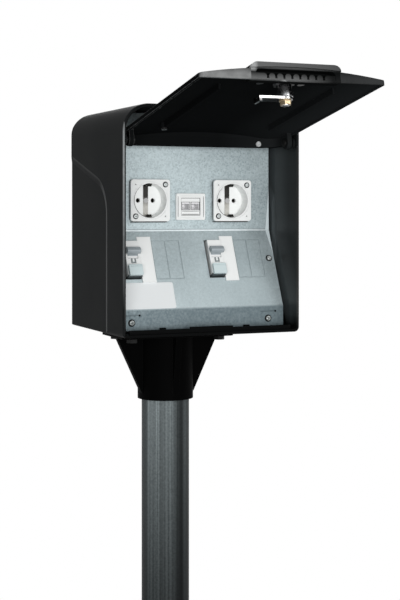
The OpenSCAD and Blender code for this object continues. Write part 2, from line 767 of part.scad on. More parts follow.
slot_len = 20;
slot_h = 0.9;
slot_hole_r = 1.2;
module front_panel() color("silver") in_box() difference() {
    intersection() {
        along_x(-panel_half, panel_half) sheet_section();
        along_y(0, housing_d) plate_outline(panel_half, 0, panel_top, top_r - wall, 0.5);
    }
    at_sockets() {
        rod_y(well_d / 2 + well_wall + clear, -eps, panel_y);
        at_socket_screws() rod_y(panel_screw_r, -eps, panel_y);
    }
    translate([data_x - insert_w / 2 - clear, 0, data_z - insert_h / 2 - clear])
        cube([insert_w + 2 * clear, housing_d, insert_h + 2 * clear]);
    at_lip_screws() {
        translate([0, 0, lip_screw_z]) rod_y(panel_screw_r + fit, 0, lip_y + 2 * sheet);
        // Scored line with a small hole at its end
        translate([-slot_len / 2, lip_y - eps, lip_slot_z - slot_h / 2])
            cube([slot_len, eps + score_depth, slot_h]);
        translate([slot_len / 2, 0, lip_slot_z]) rod_y(slot_hole_r, 0, lip_y + 2 * sheet);
    }
    translate([0, panel_y, bend_z]) rotate([90 - slope_lean, 0, 0]) {
        at_bays() {
            translate([-bay_half - window_left, -switch_s - window_half_h, -2 * sheet])
                cube([bay_half + window_left - window_gap / 2, 2 * window_half_h, 4 * sheet]);
            spare_scores();
        }
        both_sides() translate([slope_screw_x, -slope_screw_s, 0])
            rod_z(panel_screw_r + fit, -2 * sheet, 2 * sheet);
    }
}

module lip_screws() color("lightgray") in_box() at_lip_screws() translate([0, lip_y, lip_screw_z])
    pan_screw_y(4.2, 2.6, panel_screw_r, sheet + lip_boss_depth - 4);

module slope_screws() color("lightgray") on_slope() both_sides()
    translate([slope_screw_x, -slope_screw_s, 0]) rotate([-90, 0, 0])
        pan_screw_y(3.8, 2.4, panel_screw_r, sheet + bracket_t + 2);

// Rail behind the slope and what it carries

module rail_brackets() color("silver") on_slope() both_sides() difference() {
    union() {
        translate([rail_half, -switch_s - rail_w / 2 - 2, -body_depth - rail_depth])
            cube([bracket_t, rail_w + 4, body_depth + rail_depth - sheet]);
        translate([rail_half, -switch_s - rail_w / 2 - 2, -sheet - bracket_t])
            cube([11, rail_w + 4, bracket_t]);
    }
    translate([slope_screw_x, -slope_screw_s, 0]) rod_z(panel_screw_r + run, -2 * body_depth, 0);
}

module din_rail() color("lightgray") on_slope() translate([0, -switch_s, -body_depth])
    along_x(-rail_half, rail_half) difference() {
        union() {
            translate([-rail_w / 2, -rail_t]) square([rail_w, rail_t]);
            translate([-rail_hat / 2, -rail_depth]) square([rail_hat, rail_depth]);
        }
        translate([-rail_hat / 2 + rail_t, -rail_depth + rail_t]) square([rail_hat - 2 * rail_t, rail_depth]);
    }

terminal_w = 6.2;
terminal_count = 5;
terminal_x = -42;
module supply_terminals() color("gray") on_slope() for (i = [0 : terminal_count - 1])
    translate([terminal_x + i * terminal_w, -switch_s, -body_depth]) difference() {
        along_x(0, terminal_w - 0.2) {
            translate([-21, 0]) square([42, 20]);
            translate([-13, 0]) square([26, 32]);
        }
        for (y = [-17, 17]) translate([terminal_w / 2, y, 0]) rod_z(1.9, 12, 40);
        for (y = [-9, 9]) translate([terminal_w / 2, y, 0]) rod_z(1.6, 22, 40);
    }

module earth_terminal() color("gold") on_slope()
    translate([terminal_x + terminal_count * terminal_w + 2, -switch_s, -body_depth])
    difference() {
        union() {
            translate([0, -19, 0]) cube([9, 38, 12]);
            translate([0, -8, 0]) cube([9, 16, 20]);
        }
        for (y = [-14, 14]) translate([4.5, y, 0]) rod_z(2, 4, 40);
    }

// Sockets

function socket_x(side) = side * socket_pitch / 2 + socket_shift;
module at_socket(side) in_box() translate([socket_x(side), 0, socket_z]) children();
module at_sockets() for (side = [-1, 1]) translate([socket_x(side), panel_y - eps, socket_z]) children();
// Screws sit in one pair of opposite corners
module at_socket_screws() for (side = [-1, 1])
    translate([side * socket_screw_pitch / 2, 0, side * socket_screw_pitch / 2]) children();

module socket_seal(side) color([0.05, 0.05, 0.05]) at_socket(side) difference() {
    along_y(panel_y - seal_t, panel_y)
        plate_outline(socket_w / 2 - 1, -socket_w / 2 + 1, socket_w / 2 - 1, 2.5, 2.5);
    rod_y(well_d / 2 + well_wall + clear, 0, panel_y + eps);
    at_socket_screws() rod_y(panel_screw_r + fit, 0, panel_y + eps);
}

module socket_front(side) color("white") at_socket(side) difference() {
    union() {
        along_y(socket_face, socket_face + socket_t)
            plate_outline(socket_w / 2, -socket_w / 2, socket_w / 2, 3.5, 3.5);
        rod_y(well_d / 2 + well_wall, socket_face, well_floor + well_floor_t);
    }
    rod_y(well_d / 2, 0, well_floor);
    // Fine groove round the well's collar
    difference() {
        rod_y(groove_r + groove_w, socket_face - eps, socket_face + score_depth);
        rod_y(groove_r, socket_face - 2 * eps, socket_face + 2 * score_depth);
    }
    for (x = [-pole_pitch / 2, pole_pitch / 2]) translate([x, 0, 0])
        rod_y(pole_d / 2, 0, well_floor + 2 * well_floor_t);
    // Notches for the earth springs, over half the well's depth
    translate([-strap_w / 2 - 0.5, socket_face + 3, -well_d / 2 - well_wall / 2])
        cube([strap_w + 1, well_depth - 3, well_d + well_wall]);
    rod_y(panel_screw_r, 0, well_floor + 2 * well_floor_t);
    at_socket_screws() rod_y(panel_screw_r + fit, 0, panel_y);
    mirror([1, 0, 0]) at_socket_screws() rod_y(1.4, 0, socket_face + 0.8);
}

module socket_carrier(side) color("gainsboro") at_socket(side) difference() {
    rod_y(well_d / 2 + well_wall - 1, well_floor + well_floor_t, well_floor + well_floor_t + carrier_len);
    for (x = [-pole_pitch / 2, pole_pitch / 2]) translate([x, 0, 0])
        rod_y(contact_r, well_floor, well_floor + well_floor_t + carrier_len - 3);
    rod_y(panel_screw_r - 0.4, well_floor, well_floor + well_floor_t + 10);
}

// Earth clip: a strap across the well floor with two spring ends that bend in towards the plug
module earth_clip(side) color("silver") at_socket(side) difference() {
    union() {
        translate([-strap_w / 2, well_floor - strap_t, -well_d / 2])
            cube([strap_w, strap_t, well_d]);
        for (turn = [0, 180]) rotate([0, turn, 0]) along_x(-strap_w / 2, strap_w / 2) polygon([
            [well_floor, well_d / 2 - strap_t], [well_floor, well_d / 2], [well_floor - 6, well_d / 2],
            [socket_face + 5.5, well_d / 2 - 2.6], [socket_face + 3.4, well_d / 2 - 0.6],
            [socket_face + 3.4, well_d / 2 - 1.6], [socket_face + 5.5, well_d / 2 - 3.8],
            [well_floor - 6, well_d / 2 - strap_t]]);
    }
    rod_y(panel_screw_r, 0, housing_d);
}

module pin_contacts(side) color("gold") at_socket(side) for (x = [-pole_pitch / 2, pole_pitch / 2])
    translate([x, 0, 0]) difference() {
        rod_y(contact_r, well_floor + well_floor_t + contact_inset, well_floor + well_floor_t + carrier_len - 3);
        rod_y(pole_d / 2, well_floor, well_floor + well_floor_t + carrier_len - 5);
    }

module socket_screws() color("lightgray") for (side = [-1, 1]) at_socket(side) at_socket_screws()
    translate([0, socket_face, 0]) pan_screw_y(3.2, 1.8, panel_screw_r - 0.1, socket_t + seal_t + sheet + 3);

module socket_centre_screws() color("lightgray") for (side = [-1, 1]) at_socket(side)
    translate([0, well_floor - strap_t, 0])
        pan_screw_y(2.9, 1.4, panel_screw_r - 0.4, strap_t + well_floor_t + 8);

// Data outlet

module at_data() in_box() translate([data_x, panel_y, data_z]) children();
jack_x = jack_w / 2 + jack_wall;
module at_jacks() for (x = [-jack_x, jack_x]) translate([x, 0, jack_rise]) children();

module data_frame() color("white") at_data() difference() {
    along_y(-data_frame_t, 0) plate_outline(data_w / 2, -data_h / 2, data_h / 2, 2, 2);
    translate([-insert_w / 2 - fit, -2 * data_frame_t, -insert_h / 2 - fit])
        cube([insert_w + 2 * fit, 3 * data_frame_t, insert_h + 2 * fit]);
    for (z = [-data_h / 2 + 2.6, data_h / 2 - 2.6]) translate([-insert_w / 2, -data_frame_t - eps, z - 0.4])
        cube([insert_w, eps + 0.6, 0.8]);
}

module data_insert() color("white") at_data() difference() {
    union() {
        translate([-insert_w / 2, -insert_proud, -insert_h / 2]) cube([insert_w, insert_len, insert_h]);
        for (x = [-insert_w / 2 - 1.2, insert_w / 2 - 1]) translate([x, sheet, -4]) cube([2.2, 4, 8]);
    }
    at_jacks() translate([-jack_w / 2, -2 * insert_proud, -jack_h / 2]) cube([jack_w, 2 * insert_len, jack_h]);
    // Groove of the label strip
    translate([-insert_w / 2 + 1, -insert_proud - eps, -insert_h / 2 + 1.2])
        cube([insert_w - 2, eps + 0.6, 3.4]);
}

jack_len = 16;
module data_jacks() color("gray") at_data() at_jacks() difference() {
    translate([-jack_w / 2 + 0.05, -insert_proud + 1, -jack_h / 2 + 0.05])
        cube([jack_w - 0.1, jack_len, jack_h - 0.1]);
    translate([-jack_w / 2 + 0.7, -insert_proud, -jack_h / 2 + 0.7])
        cube([jack_w - 1.4, jack_len - 1, jack_h - 2.6]);
}

wire_pitch = 1.02;
wire_count = 8;
module data_contacts() color("gold") at_data() at_jacks() for (i = [0 : wire_count - 1])
    translate([(i - (wire_count - 1) / 2) * wire_pitch, 0, jack_h / 2 - 2.3])
        rod_y(0.3, 0, jack_len - insert_proud - 1);

// Switches: the frame stands at the middle of the switch nose, on the panel's front face

module at_switch(side) on_slope()
    translate([side * bay_pitch / 2 + bay_shift - 1.5 * module_pitch, -switch_s, 0]) children();

module switch_body(side) color("white") at_switch(side) difference() {
    union() {
        translate([-module_w / 2, -nose_h / 2, -shoulder - fit])
            cube([module_w, nose_h, shoulder + nose_proud + fit]);
        translate([-module_w / 2, -body_half_len, -body_depth])
            cube([module_w, 2 * body_half_len, body_depth - shoulder]);
    }
    // Slot and seat of the toggle
    translate([0, toggle_y, toggle_z]) {
        rod_x(toggle_r + clear, -toggle_half - clear, toggle_half + clear);
        rod_x(trunnion_r + run, -module_w, module_w);
    }
    translate([-toggle_half - clear, toggle_y - toggle_r - clear, toggle_z])
        cube([2 * (toggle_half + clear), 2 * (toggle_r + clear), 20]);
    // Pocket of the test key
    translate([-key_half - clear, key_y - key_h / 2 - clear, -7])
        cube([2 * (key_half + clear), key_h + 2 * clear, 20]);
    // Flag window between toggle and key
    translate([-3.3, toggle_y - toggle_r - clear - 5.6, nose_proud - 0.8]) cube([6.6, 4.6, 2]);
    // Terminal screw holes in both shoulders
    for (y = [-body_half_len + 9, body_half_len - 9]) translate([0, y, 0]) rod_z(2.6, -shoulder - 12, 0);
}

lever_rise = toggle_turn / 2;
lever_t = 3.6;
handle_low = 7.2;
handle_high = 13;
handle_t = 7.5;
module toggle(side) color([0.35, 0.36, 0.38]) at_switch(side) translate([0, toggle_y, toggle_z]) {
    rod_x(toggle_r, -toggle_half, toggle_half);
    rod_x(trunnion_r, -module_w / 2 + 0.4, module_w / 2 - 0.4);
    rotate([-lever_rise, 0, 0]) {
        along_x(-toggle_half, toggle_half) translate([-lever_t / 2, 0]) square([lever_t, handle_low + 1]);
        along_x(-handle_half, handle_half) plate_outline(handle_t / 2, handle_low, handle_high, 2, 1);
    }
}

module test_key(side) color("lightsteelblue") at_switch(side) translate([0, key_y, 0]) difference() {
    union() {
        along_z(-7 + key_travel + clear, key_proud - 1) plate_outline(key_half, -key_h / 2, key_h / 2, 1, 1);
        // Cap over the whole width of the switch
        along_z(nose_proud + key_travel + clear, key_proud) plate_outline(handle_half, -7.2, 6, 1.2, 1.2);
    }
    translate([-handle_half - eps, 3.4, key_proud - 0.5]) cube([2 * (handle_half + eps), 0.8, 2]);
}

strip_over = 4.5;
strip_t = 1.6;
module blanking_strip(side) color("white") on_slope()
    translate([side * bay_pitch / 2 + bay_shift, -switch_s, 0]) {
        translate([-module_pitch + 0.3, -window_half_h - strip_over, 0])
            cube([module_pitch - 0.6, 2 * (window_half_h + strip_over), strip_t]);
        translate([-module_pitch + 0.6, -window_half_h + clear, -4])
            cube([module_pitch - window_gap / 2 - 1.2, 2 * (window_half_h - clear), 4 + fit]);
    }

post_tube();
post_collar();
collar_set_screws();
collar_bolts();
collar_washers();
collar_nuts();
cable_grommet();
housing();
hinge_pin(-1);  // left_hinge_pin
hinge_pin(1);  // right_hinge_pin
front_panel();
lip_screws();
slope_screws();
rail_brackets();
din_rail();
supply_terminals();
earth_terminal();
socket_seal(-1);  // left_socket_seal
socket_front(-1);  // left_socket_front
socket_carrier(-1);  // left_socket_carrier
earth_clip(-1);  // left_earth_clip
pin_contacts(-1);  // left_pin_contacts
socket_seal(1);  // right_socket_seal
socket_front(1);  // right_socket_front
socket_carrier(1);  // right_socket_carrier
earth_clip(1);  // right_earth_clip
pin_contacts(1);  // right_pin_contacts
socket_screws();
socket_centre_screws();
data_frame();
data_insert();
data_jacks();
data_contacts();
switch_body(-1);  // left_switch_body
toggle(-1);  // left_toggle
test_key(-1);  // left_test_key
blanking_strip(-1);  // left_blanking_strip
switch_body(1);  // right_switch_body
toggle(1);  // right_toggle
test_key(1);  // right_test_key
blanking_strip(1);  // right_blanking_strip
lid();
lid_screws();
lid_grip();
grip_screws();
lock_barrel();
lock_nut();
lock_plug();
lock_cam();
cam_nut();
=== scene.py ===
# %% [markdown]
# # A garden socket post, dressed
# The imported model gives every rigid piece its true shape and place. This lesson gives those
# pieces their finishes, with painted light and shade in places. It adds thin trim: some of it a
# maker sticks or presses on afterwards, and some of it is painted shade. It also sets up a plain
# studio. Lengths are in metres unless a name ends in `_MM` or `_mm`.

# %% Load the imported model
import json

import bmesh
import bpy
import numpy as np
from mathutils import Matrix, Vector


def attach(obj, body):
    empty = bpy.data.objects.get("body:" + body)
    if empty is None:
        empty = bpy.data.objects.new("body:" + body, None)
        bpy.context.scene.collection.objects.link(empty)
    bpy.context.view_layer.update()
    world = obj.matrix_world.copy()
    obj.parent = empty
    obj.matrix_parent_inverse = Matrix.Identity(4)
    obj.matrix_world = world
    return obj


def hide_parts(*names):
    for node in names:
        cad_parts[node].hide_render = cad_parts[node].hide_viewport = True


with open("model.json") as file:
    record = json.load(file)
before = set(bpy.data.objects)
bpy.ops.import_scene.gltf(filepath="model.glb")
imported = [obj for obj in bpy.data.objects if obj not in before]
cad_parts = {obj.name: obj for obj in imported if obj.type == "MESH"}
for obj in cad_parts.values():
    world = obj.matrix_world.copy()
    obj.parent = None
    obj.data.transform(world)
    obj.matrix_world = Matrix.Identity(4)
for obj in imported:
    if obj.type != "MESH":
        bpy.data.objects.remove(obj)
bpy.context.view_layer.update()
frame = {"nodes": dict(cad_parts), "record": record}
nodes = frame["nodes"]

# %% [markdown]
# ## Two places to measure from
# The trim is drawn in two frames: that of the box, and that of the panel's slope. Each is a
# function that turns millimetres in its frame into metres in the model. Working on arrays
# lets a whole surface be placed in one call.

# %% Frames of the box and the slope
MM = 0.001
BOX_ORIGIN_MM = np.array([0.0, -151.0, 1012.0])
BEND_MM = np.array([0.0, 67.0, 121.5])
SLOPE_LEAN = np.radians(23.5)
SLOPE_WAY = np.array([0.0, -np.sin(SLOPE_LEAN), -np.cos(SLOPE_LEAN)])
SLOPE_OUT = np.array([0.0, -np.cos(SLOPE_LEAN), np.sin(SLOPE_LEAN)])


def in_box(points_mm):
    """Model point = box origin + point: Y from the front edge, Z from the underside."""
    return (np.asarray(points_mm, float) + BOX_ORIGIN_MM) * MM


def on_slope(points_mm):
    """Slope frame: X across, -Y down the sheet, Z square on its front side. It is turned
    about X by a = 90 degrees - lean: y' = y cos a - z sin a, and z' = y sin a + z cos a."""
    x, y, z = np.moveaxis(np.asarray(points_mm, float), -1, 0)
    cos, sin = np.cos(np.pi / 2 - SLOPE_LEAN), np.sin(np.pi / 2 - SLOPE_LEAN)
    return in_box(np.stack([x, y * cos - z * sin, y * sin + z * cos], axis=-1) + BEND_MM)


print("bend at", in_box(BEND_MM))

# %% [markdown]
# ## Camera
# The photograph was taken from the left, level, a little below the lid. A level camera with
# a small downward shift keeps the uprights parallel, as the photograph does. Its place and
# lens come from a fit of box edges, socket corners and post to the picture.

# %% Camera at the photograph's angle
CAMERA_PLACE = (-0.6241, -1.5474, 1.1586)
CAMERA_TURN = np.radians(23.48)
CAMERA_LENS = 78.66
CAMERA_SHIFT = -0.1508

camera_data = bpy.data.cameras.new("camera")
camera_data.lens = CAMERA_LENS
camera_data.sensor_width = 36.0
camera_data.shift_y = CAMERA_SHIFT
camera = bpy.data.objects.new("camera", camera_data)
camera.location = CAMERA_PLACE
camera.rotation_euler = (np.pi / 2, 0.0, -CAMERA_TURN)
bpy.context.scene.collection.objects.link(camera)
bpy.context.scene.camera = camera
bpy.context.scene.view_settings.view_transform = "Standard"
print("camera at", CAMERA_PLACE)

# %% [markdown]
# ## Building shader groups
# Several finishes share an effect, such as the fine grain of moulded plastic. Each effect is
# a node group with named sockets, so a material only places it and sets its numbers. Two
# small classes keep the groups readable. The first adds nodes to a tree: whatever is handed
# to a node is joined if it is a socket, and set if it is a number, a colour or a vector.

# %% Helper: nodes of one tree


def rgba(*parts):
    """Colour with full alpha; one part alone is a grey."""
    return (*(parts * 3 if len(parts) == 1 else parts), 1.0)


class Nodes:
    """Adds nodes to one shader tree and gives back their results."""

    def __init__(self, tree):
        self.tree = tree

    def feed(self, target, value):
        """Joins a socket to a target, or sets the target's value."""
        if isinstance(value, bpy.types.NodeSocket):
            self.tree.links.new(value, target)
        else:
            target.default_value = value

    def add(self, kind, settings=None, **inputs):
        """New node; settings are its properties, inputs its sockets by name."""
        node = self.tree.nodes.new("ShaderNode" + kind)
        for key, value in (settings or {}).items():
            setattr(node, key, value)
        for key, value in inputs.items():
            self.feed(node.inputs[key.replace("_", " ")], value)
        return node

    def operated(self, kind, operation, values):
        """New maths node of a kind, with its operands in order."""
        node = self.add(kind, {"operation": operation})
        for target, value in zip(node.inputs, values):
            self.feed(target, value)
        return node

    def maths(self, operation, *values):
        """Number from numbers."""
        return self.operated("Math", operation, values).outputs["Value"]

    def times(self, first, *others):
        """Product of two numbers or more."""
        for other in others:
            first = self.maths("MULTIPLY", first, other)
        return first

    def vectors(self, operation, *values):
        """Vector from vectors, or the number that a dot product or a length is."""
        node = self.operated("VectorMath", operation, values)
        return node.outputs["Value" if operation in ("DOT_PRODUCT", "LENGTH") else "Vector"]

    def ramped(self, value, start, end, at_start=0.0, at_end=1.0):
        """Number that runs from at_start to at_end while a value runs from start to end."""
        ends = {"From Min": start, "From Max": end, "To Min": at_start, "To Max": at_end}
        return self.add("MapRange", Value=value, **ends).outputs["Result"]

    def mixed(self, factor, first, second, kind="RGBA", blend="MIX"):
        """Mix of two colours, or of two numbers with kind FLOAT, by a factor."""
        node = self.add("Mix", {"data_type": kind, "blend_type": blend})
        start, result = (6, 2) if kind == "RGBA" else (2, 0)
        for index, value in ((0, factor), (start, first), (start + 1, second)):
            self.feed(node.inputs[index], value)
        return node.outputs[result]


print("node helper ready")

# %% [markdown]
# The second class is a group in the making. It adds what surface effects ask for again and
# again: the place on the object and its coordinates, noise, roughness, the bent normal near
# edges, and the distance from the panel's bend.

# %% Helper: one effect
SURFACE_OUTPUTS = ["Colour", "Roughness", "Height"]
FLOAT, COLOUR, VECTOR = "NodeSocketFloat", "NodeSocketColor", "NodeSocketVector"


class Effect(Nodes):
    """Shader group: effect[name] is one of its inputs, and give fills its outputs."""

    def __init__(self, name, outputs, inputs):
        super().__init__(bpy.data.node_groups.new(name, "ShaderNodeTree"))
        sockets = self.tree.interface
        for label, value in inputs.items():
            kind = FLOAT if isinstance(value, float) else {3: VECTOR, 4: COLOUR}[len(value)]
            sockets.new_socket(label, in_out="INPUT", socket_type=kind).default_value = value
        for label in outputs:
            kind = COLOUR if label == "Colour" else FLOAT
            sockets.new_socket(label, in_out="OUTPUT", socket_type=kind)
        self.start = self.tree.nodes.new("NodeGroupInput")
        self.end = self.tree.nodes.new("NodeGroupOutput")

    def __getitem__(self, label):
        return self.start.outputs[label]

    def give(self, **results):
        """Joins results to the outputs of the same names."""
        for label, result in results.items():
            self.feed(self.end.inputs[label], result)
        print("group:", self.tree.name, "gives", *results)

    def place(self):
        """Object coordinates as a vector."""
        return self.add("TexCoord").outputs["Object"]

    def split(self, vector):
        """X, Y and Z of a vector."""
        return tuple(self.add("SeparateXYZ", Vector=vector).outputs)

    def noise(self, place, scale, detail, roughness=0.5):
        """Even noise between 0 and 1."""
        inputs = {"Vector": place, "Scale": scale, "Detail": detail, "Roughness": roughness}
        return self.add("TexNoise", **inputs).outputs["Fac"]

    def from_bend(self, place, way):
        """Distance from the panel's bend along a way."""
        along = self.vectors("DOT_PRODUCT", place, way)
        return self.maths("SUBTRACT", along, float(in_box(BEND_MM) @ way))

    def bent(self, at_edge):
        """0 on flat faces, and up to 1 where the soft normal leaves the true one; at_edge is
        the dot product of the two that counts as 1."""
        normal = self.add("NewGeometry").outputs["Normal"]
        return self.ramped(self.vectors("DOT_PRODUCT", self["Soft Normal"], normal), 1.0, at_edge)

    def rough(self, factor):
        """Roughness between the group's two limits."""
        return self.ramped(factor, 0.0, 1.0, self["Rough Low"], self["Rough High"])


print("effect helper ready")

# %% [markdown]
# ## Moulded grain
# Spark-eroded moulds leave plastic with a fine, even grain and slow changes of tone and
# gloss. One noise at a fraction of a millimetre gives the height, and one at some
# centimetres gives the clouds.

# %% Group: moulded grain
grain = Effect(
    "moulded grain",
    SURFACE_OUTPUTS,
    {
        "Dark": rgba(0.02),
        "Light": rgba(0.03),
        "Cloud Scale": 14.0,
        "Grain Scale": 1400.0,
        "Rough Low": 0.45,
        "Rough High": 0.6,
    },
)
place = grain.place()
clouds = grain.noise(place, grain["Cloud Scale"], 4.0, 0.55)
pips = grain.noise(place, grain["Grain Scale"], 2.0, 0.6)
tone = grain.mixed(clouds, grain["Dark"], grain["Light"])
grain.give(Colour=tone, Roughness=grain.rough(clouds), Height=pips)

# %% [markdown]
# ## Zinc spangle
# Hot-dip zinc freezes in flat crystals, each with its own tilt and so its own brightness.
# Cells of a Voronoi texture, at two sizes, carry a random tone each. The darkest of the small
# ones are flecks. They are plain to see on the upright and nearly gone on the slope, so they also
# paint shade on the upright as a whole. The sheet's right side is painted darker, as shade.

# %% Group: zinc spangle
spangle = Effect(
    "zinc spangle",
    SURFACE_OUTPUTS,
    {
        "Dark": rgba(0.4, 0.44, 0.45),
        "Light": rgba(0.62, 0.66, 0.67),
        "Cell Scale": 420.0,
        "Fleck Scale": 640.0,
        "Rough Low": 0.35,
        "Rough High": 0.55,
    },
)
SLOPE_TO_UPRIGHT, FLECK_TONES, RIGHT_SHADE_X = (1.125, 1.14), (0.2, 0.34), (-0.1, 0.1)
place = spangle.place()
at_x, _, at_z = spangle.split(place)


def crystal_tones(scale):
    """Brightness of Voronoi cells: one random tone each."""
    cells = spangle.add("TexVoronoi", Vector=place, Scale=scale, Randomness=1.0)
    return spangle.add("RGBToBW", Color=cells.outputs["Color"]).outputs["Val"]


cell_tone = crystal_tones(spangle["Cell Scale"])
fleck_tone = crystal_tones(spangle["Fleck Scale"])
drift = spangle.noise(place, 9.0, 3.0)
pair = spangle.mixed(0.5, cell_tone, fleck_tone, "FLOAT")
dark_specks = spangle.ramped(fleck_tone, *FLECK_TONES, 1.0, 0.0)
# Flecks are deep on the upright and shallow on the slope, which also paints shade on the upright.
fleck_depth_and_shade = spangle.ramped(at_z, *SLOPE_TO_UPRIGHT, 0.1, 0.6)
specks = spangle.ramped(spangle.times(dark_specks, fleck_depth_and_shade), 0.0, 1.0, 1.0, 0.0)
drift_share = spangle.ramped(at_z, *SLOPE_TO_UPRIGHT, 0.75, 0.55)
tone = spangle.mixed(drift_share, spangle.times(specks, pair), drift, "FLOAT")
# Painted shade: the sheet is darkened towards its right side.
shaded_right = spangle.times(tone, spangle.ramped(at_x, *RIGHT_SHADE_X, 1.12, 0.84))
tone = spangle.mixed(shaded_right, spangle["Dark"], spangle["Light"])
spangle.give(Colour=tone, Roughness=spangle.rough(pair), Height=pair)

# %% [markdown]
# ## Drawn streaks
# A tube is drawn through a die, a rail is rolled and a screw is turned. All three leave fine
# lines along the way the metal moved, over wider blotches of scale. A noise that is
# stretched along one axis gives the lines, and a second, even one gives the blotches.

# %% Group: drawn streaks
streaks = Effect(
    "drawn streaks",
    SURFACE_OUTPUTS,
    {
        "Dark": rgba(0.05),
        "Light": rgba(0.2),
        "Stretch": (400.0, 400.0, 6.0),
        "Blotch Scale": 25.0,
        "Blotch Share": 0.5,
        "Rough Low": 0.3,
        "Rough High": 0.5,
    },
)
STREAK_TONES = (0.3, 0.7)
place = streaks.place()
lines = streaks.noise(streaks.vectors("MULTIPLY", place, streaks["Stretch"]), 1.0, 3.0, 0.6)
blotches = streaks.noise(place, streaks["Blotch Scale"], 5.0, 0.62)
both = streaks.mixed(streaks["Blotch Share"], lines, blotches, "FLOAT")
tone = streaks.mixed(streaks.ramped(both, *STREAK_TONES), streaks["Dark"], streaks["Light"])
streaks.give(Colour=tone, Roughness=streaks.rough(blotches), Height=lines)

# %% [markdown]
# ## Painted light and shade round the tube
# The tube's lighter and darker bands along its whole length are painted reflections and shade.
# They are set out by the angle round the axis from the side that faces the camera. The tube is
# also painted darker towards the foot, as shade. A ramp over the angle round the axis gives the
# bands, and a slow change with height gives the darkening.

# %% Group: tube bands
tube_light = Effect(
    "painted tube light",
    ["Colour"],
    {"Colour": rgba(0.1), "Dark": rgba(0.02), "Foot": 0.64, "Head": 0.92},
)
# Angle 0 faces the camera; each share is a painted reflection or shade.
BAND_FRONT, BAND_RIGHT = (-0.398, -0.917, 0.0), (0.917, -0.398, 0.0)
BAND_DEGREES = [-180, -90, -50, -43, -30, -14, -10, 13, 31, 45, 56, 66, 180]
BAND_SHARES = [0.5, 0.3, 0.4, 0.95, 0.7, 0.85, 0.42, 0.7, 0.18, 0.08, 0.36, 0.18, 0.5]
place = tube_light.place()
_, _, at_z = tube_light.split(place)
ahead = tube_light.vectors("DOT_PRODUCT", place, BAND_FRONT)
aside = tube_light.vectors("DOT_PRODUCT", place, BAND_RIGHT)
turn = tube_light.ramped(tube_light.maths("ARCTAN2", aside, ahead), -np.pi, np.pi)
bands = tube_light.add("ValToRGB", Fac=turn)
stops = bands.color_ramp.elements
while len(stops) < len(BAND_DEGREES):
    stops.new(0.5)
for stop, degrees, share in zip(stops, BAND_DEGREES, BAND_SHARES):
    stop.position = degrees / 360.0 + 0.5
    stop.color = rgba(share)
# Painted shade: the tube is darker towards the foot.
foot_shade = tube_light.ramped(at_z, tube_light["Foot"], tube_light["Head"])
foot_shaded = tube_light.ramped(tube_light.maths("POWER", foot_shade, 1.5), 0.0, 1.0, 0.17, 1.0)
amount = tube_light.times(foot_shaded, bands.outputs["Color"])
tube_light.give(Colour=tube_light.mixed(amount, tube_light["Dark"], tube_light["Colour"]))

# %% [markdown]
# ## Wear and painted highlights at edges and handled fronts
# Black plastic greys and shines where hands and weather meet it: along its edges, and on the
# faces that people reach for. The grey there is partly wear and partly a painted highlight, which
# fades out to the right and towards the bottom. A Bevel node bends the normal near an edge, so
# the difference between that normal and the true one marks the edges. Faces in front of a given
# depth count as handled, most on the left, where the lid's own shade doesn't fall.

# %% Group: edge wear and painted highlights, its sockets and its mask
wear_and_light = Effect(
    "edge_wear_plus_highlight",
    ["Colour", "Polish"],
    {
        "Colour": rgba(0.02),
        "Worn": rgba(0.06),
        "Floor Shade": rgba(0.001),
        "Panel Light": rgba(0.09, 0.105, 0.11),
        "Bleach": rgba(0.0),
        "Recess Highlight": rgba(0.11, 0.114, 0.115),
        "Soft Normal": (0.0, 0.0, 1.0),
        "Edge Gain": 4.0,
        "Edge Half": -1.0,
        "Front": -0.1495,
        "Front Half": -1.0,
        "Polish Share": 0.5,
        "Inner Polish": 0.0,
        "Fade Start": -0.1,
        "Fade End": 0.06,
        "Fade Rest": 0.0,
        "Fade Low": 1.09,
        "Fade High": 1.22,
    },
)
HANDLED_AND_LIT_DEEP = 0.002
place = wear_and_light.place()
at_x, at_y, at_z = wear_and_light.split(place)
half = wear_and_light.maths("ABSOLUTE", at_x)
edges = wear_and_light.maths("MINIMUM", wear_and_light.times(wear_and_light.bent(0.0), wear_and_light["Edge Gain"]), 1.0)
edges = wear_and_light.times(edges, wear_and_light.maths("GREATER_THAN", half, wear_and_light["Edge Half"]))
reached = wear_and_light.ramped(wear_and_light.maths("SUBTRACT", wear_and_light["Front"], at_y), 0.0, HANDLED_AND_LIT_DEEP)
handled_and_lit = wear_and_light.times(reached, wear_and_light.maths("GREATER_THAN", half, wear_and_light["Front Half"]))
# The painted highlight fades out to the right and towards the bottom.
fade = wear_and_light.times(
    wear_and_light.ramped(at_x, wear_and_light["Fade Start"], wear_and_light["Fade End"], 1.0, wear_and_light["Fade Rest"]),
    wear_and_light.ramped(at_z, wear_and_light["Fade Low"], wear_and_light["Fade High"]),
)
uneven = wear_and_light.ramped(wear_and_light.noise(place, 70.0, 4.0, 0.6), 0.3, 0.6, 0.65, 1.0)
worn_and_lit = wear_and_light.times(wear_and_light.maths("MAXIMUM", edges, handled_and_lit), fade, uneven)
print("wear inputs:", len(wear_and_light.start.outputs) - 1)

# %% [markdown]
# The core half of a mould is polished, so the box shines inside, most beside the panel. There the
# wall is also painted lighter and bluer, as light from the zinc panel. Its floor stays dull and
# is painted darker, as shade. The distance in front of the panel, which changes with height below
# the bend, tells how near the panel a place on the wall is. The bevel of the box's side recess is
# known by its tilt and gets a painted highlight: its front line is the palest, and on its upper
# side only the outer border is pale.

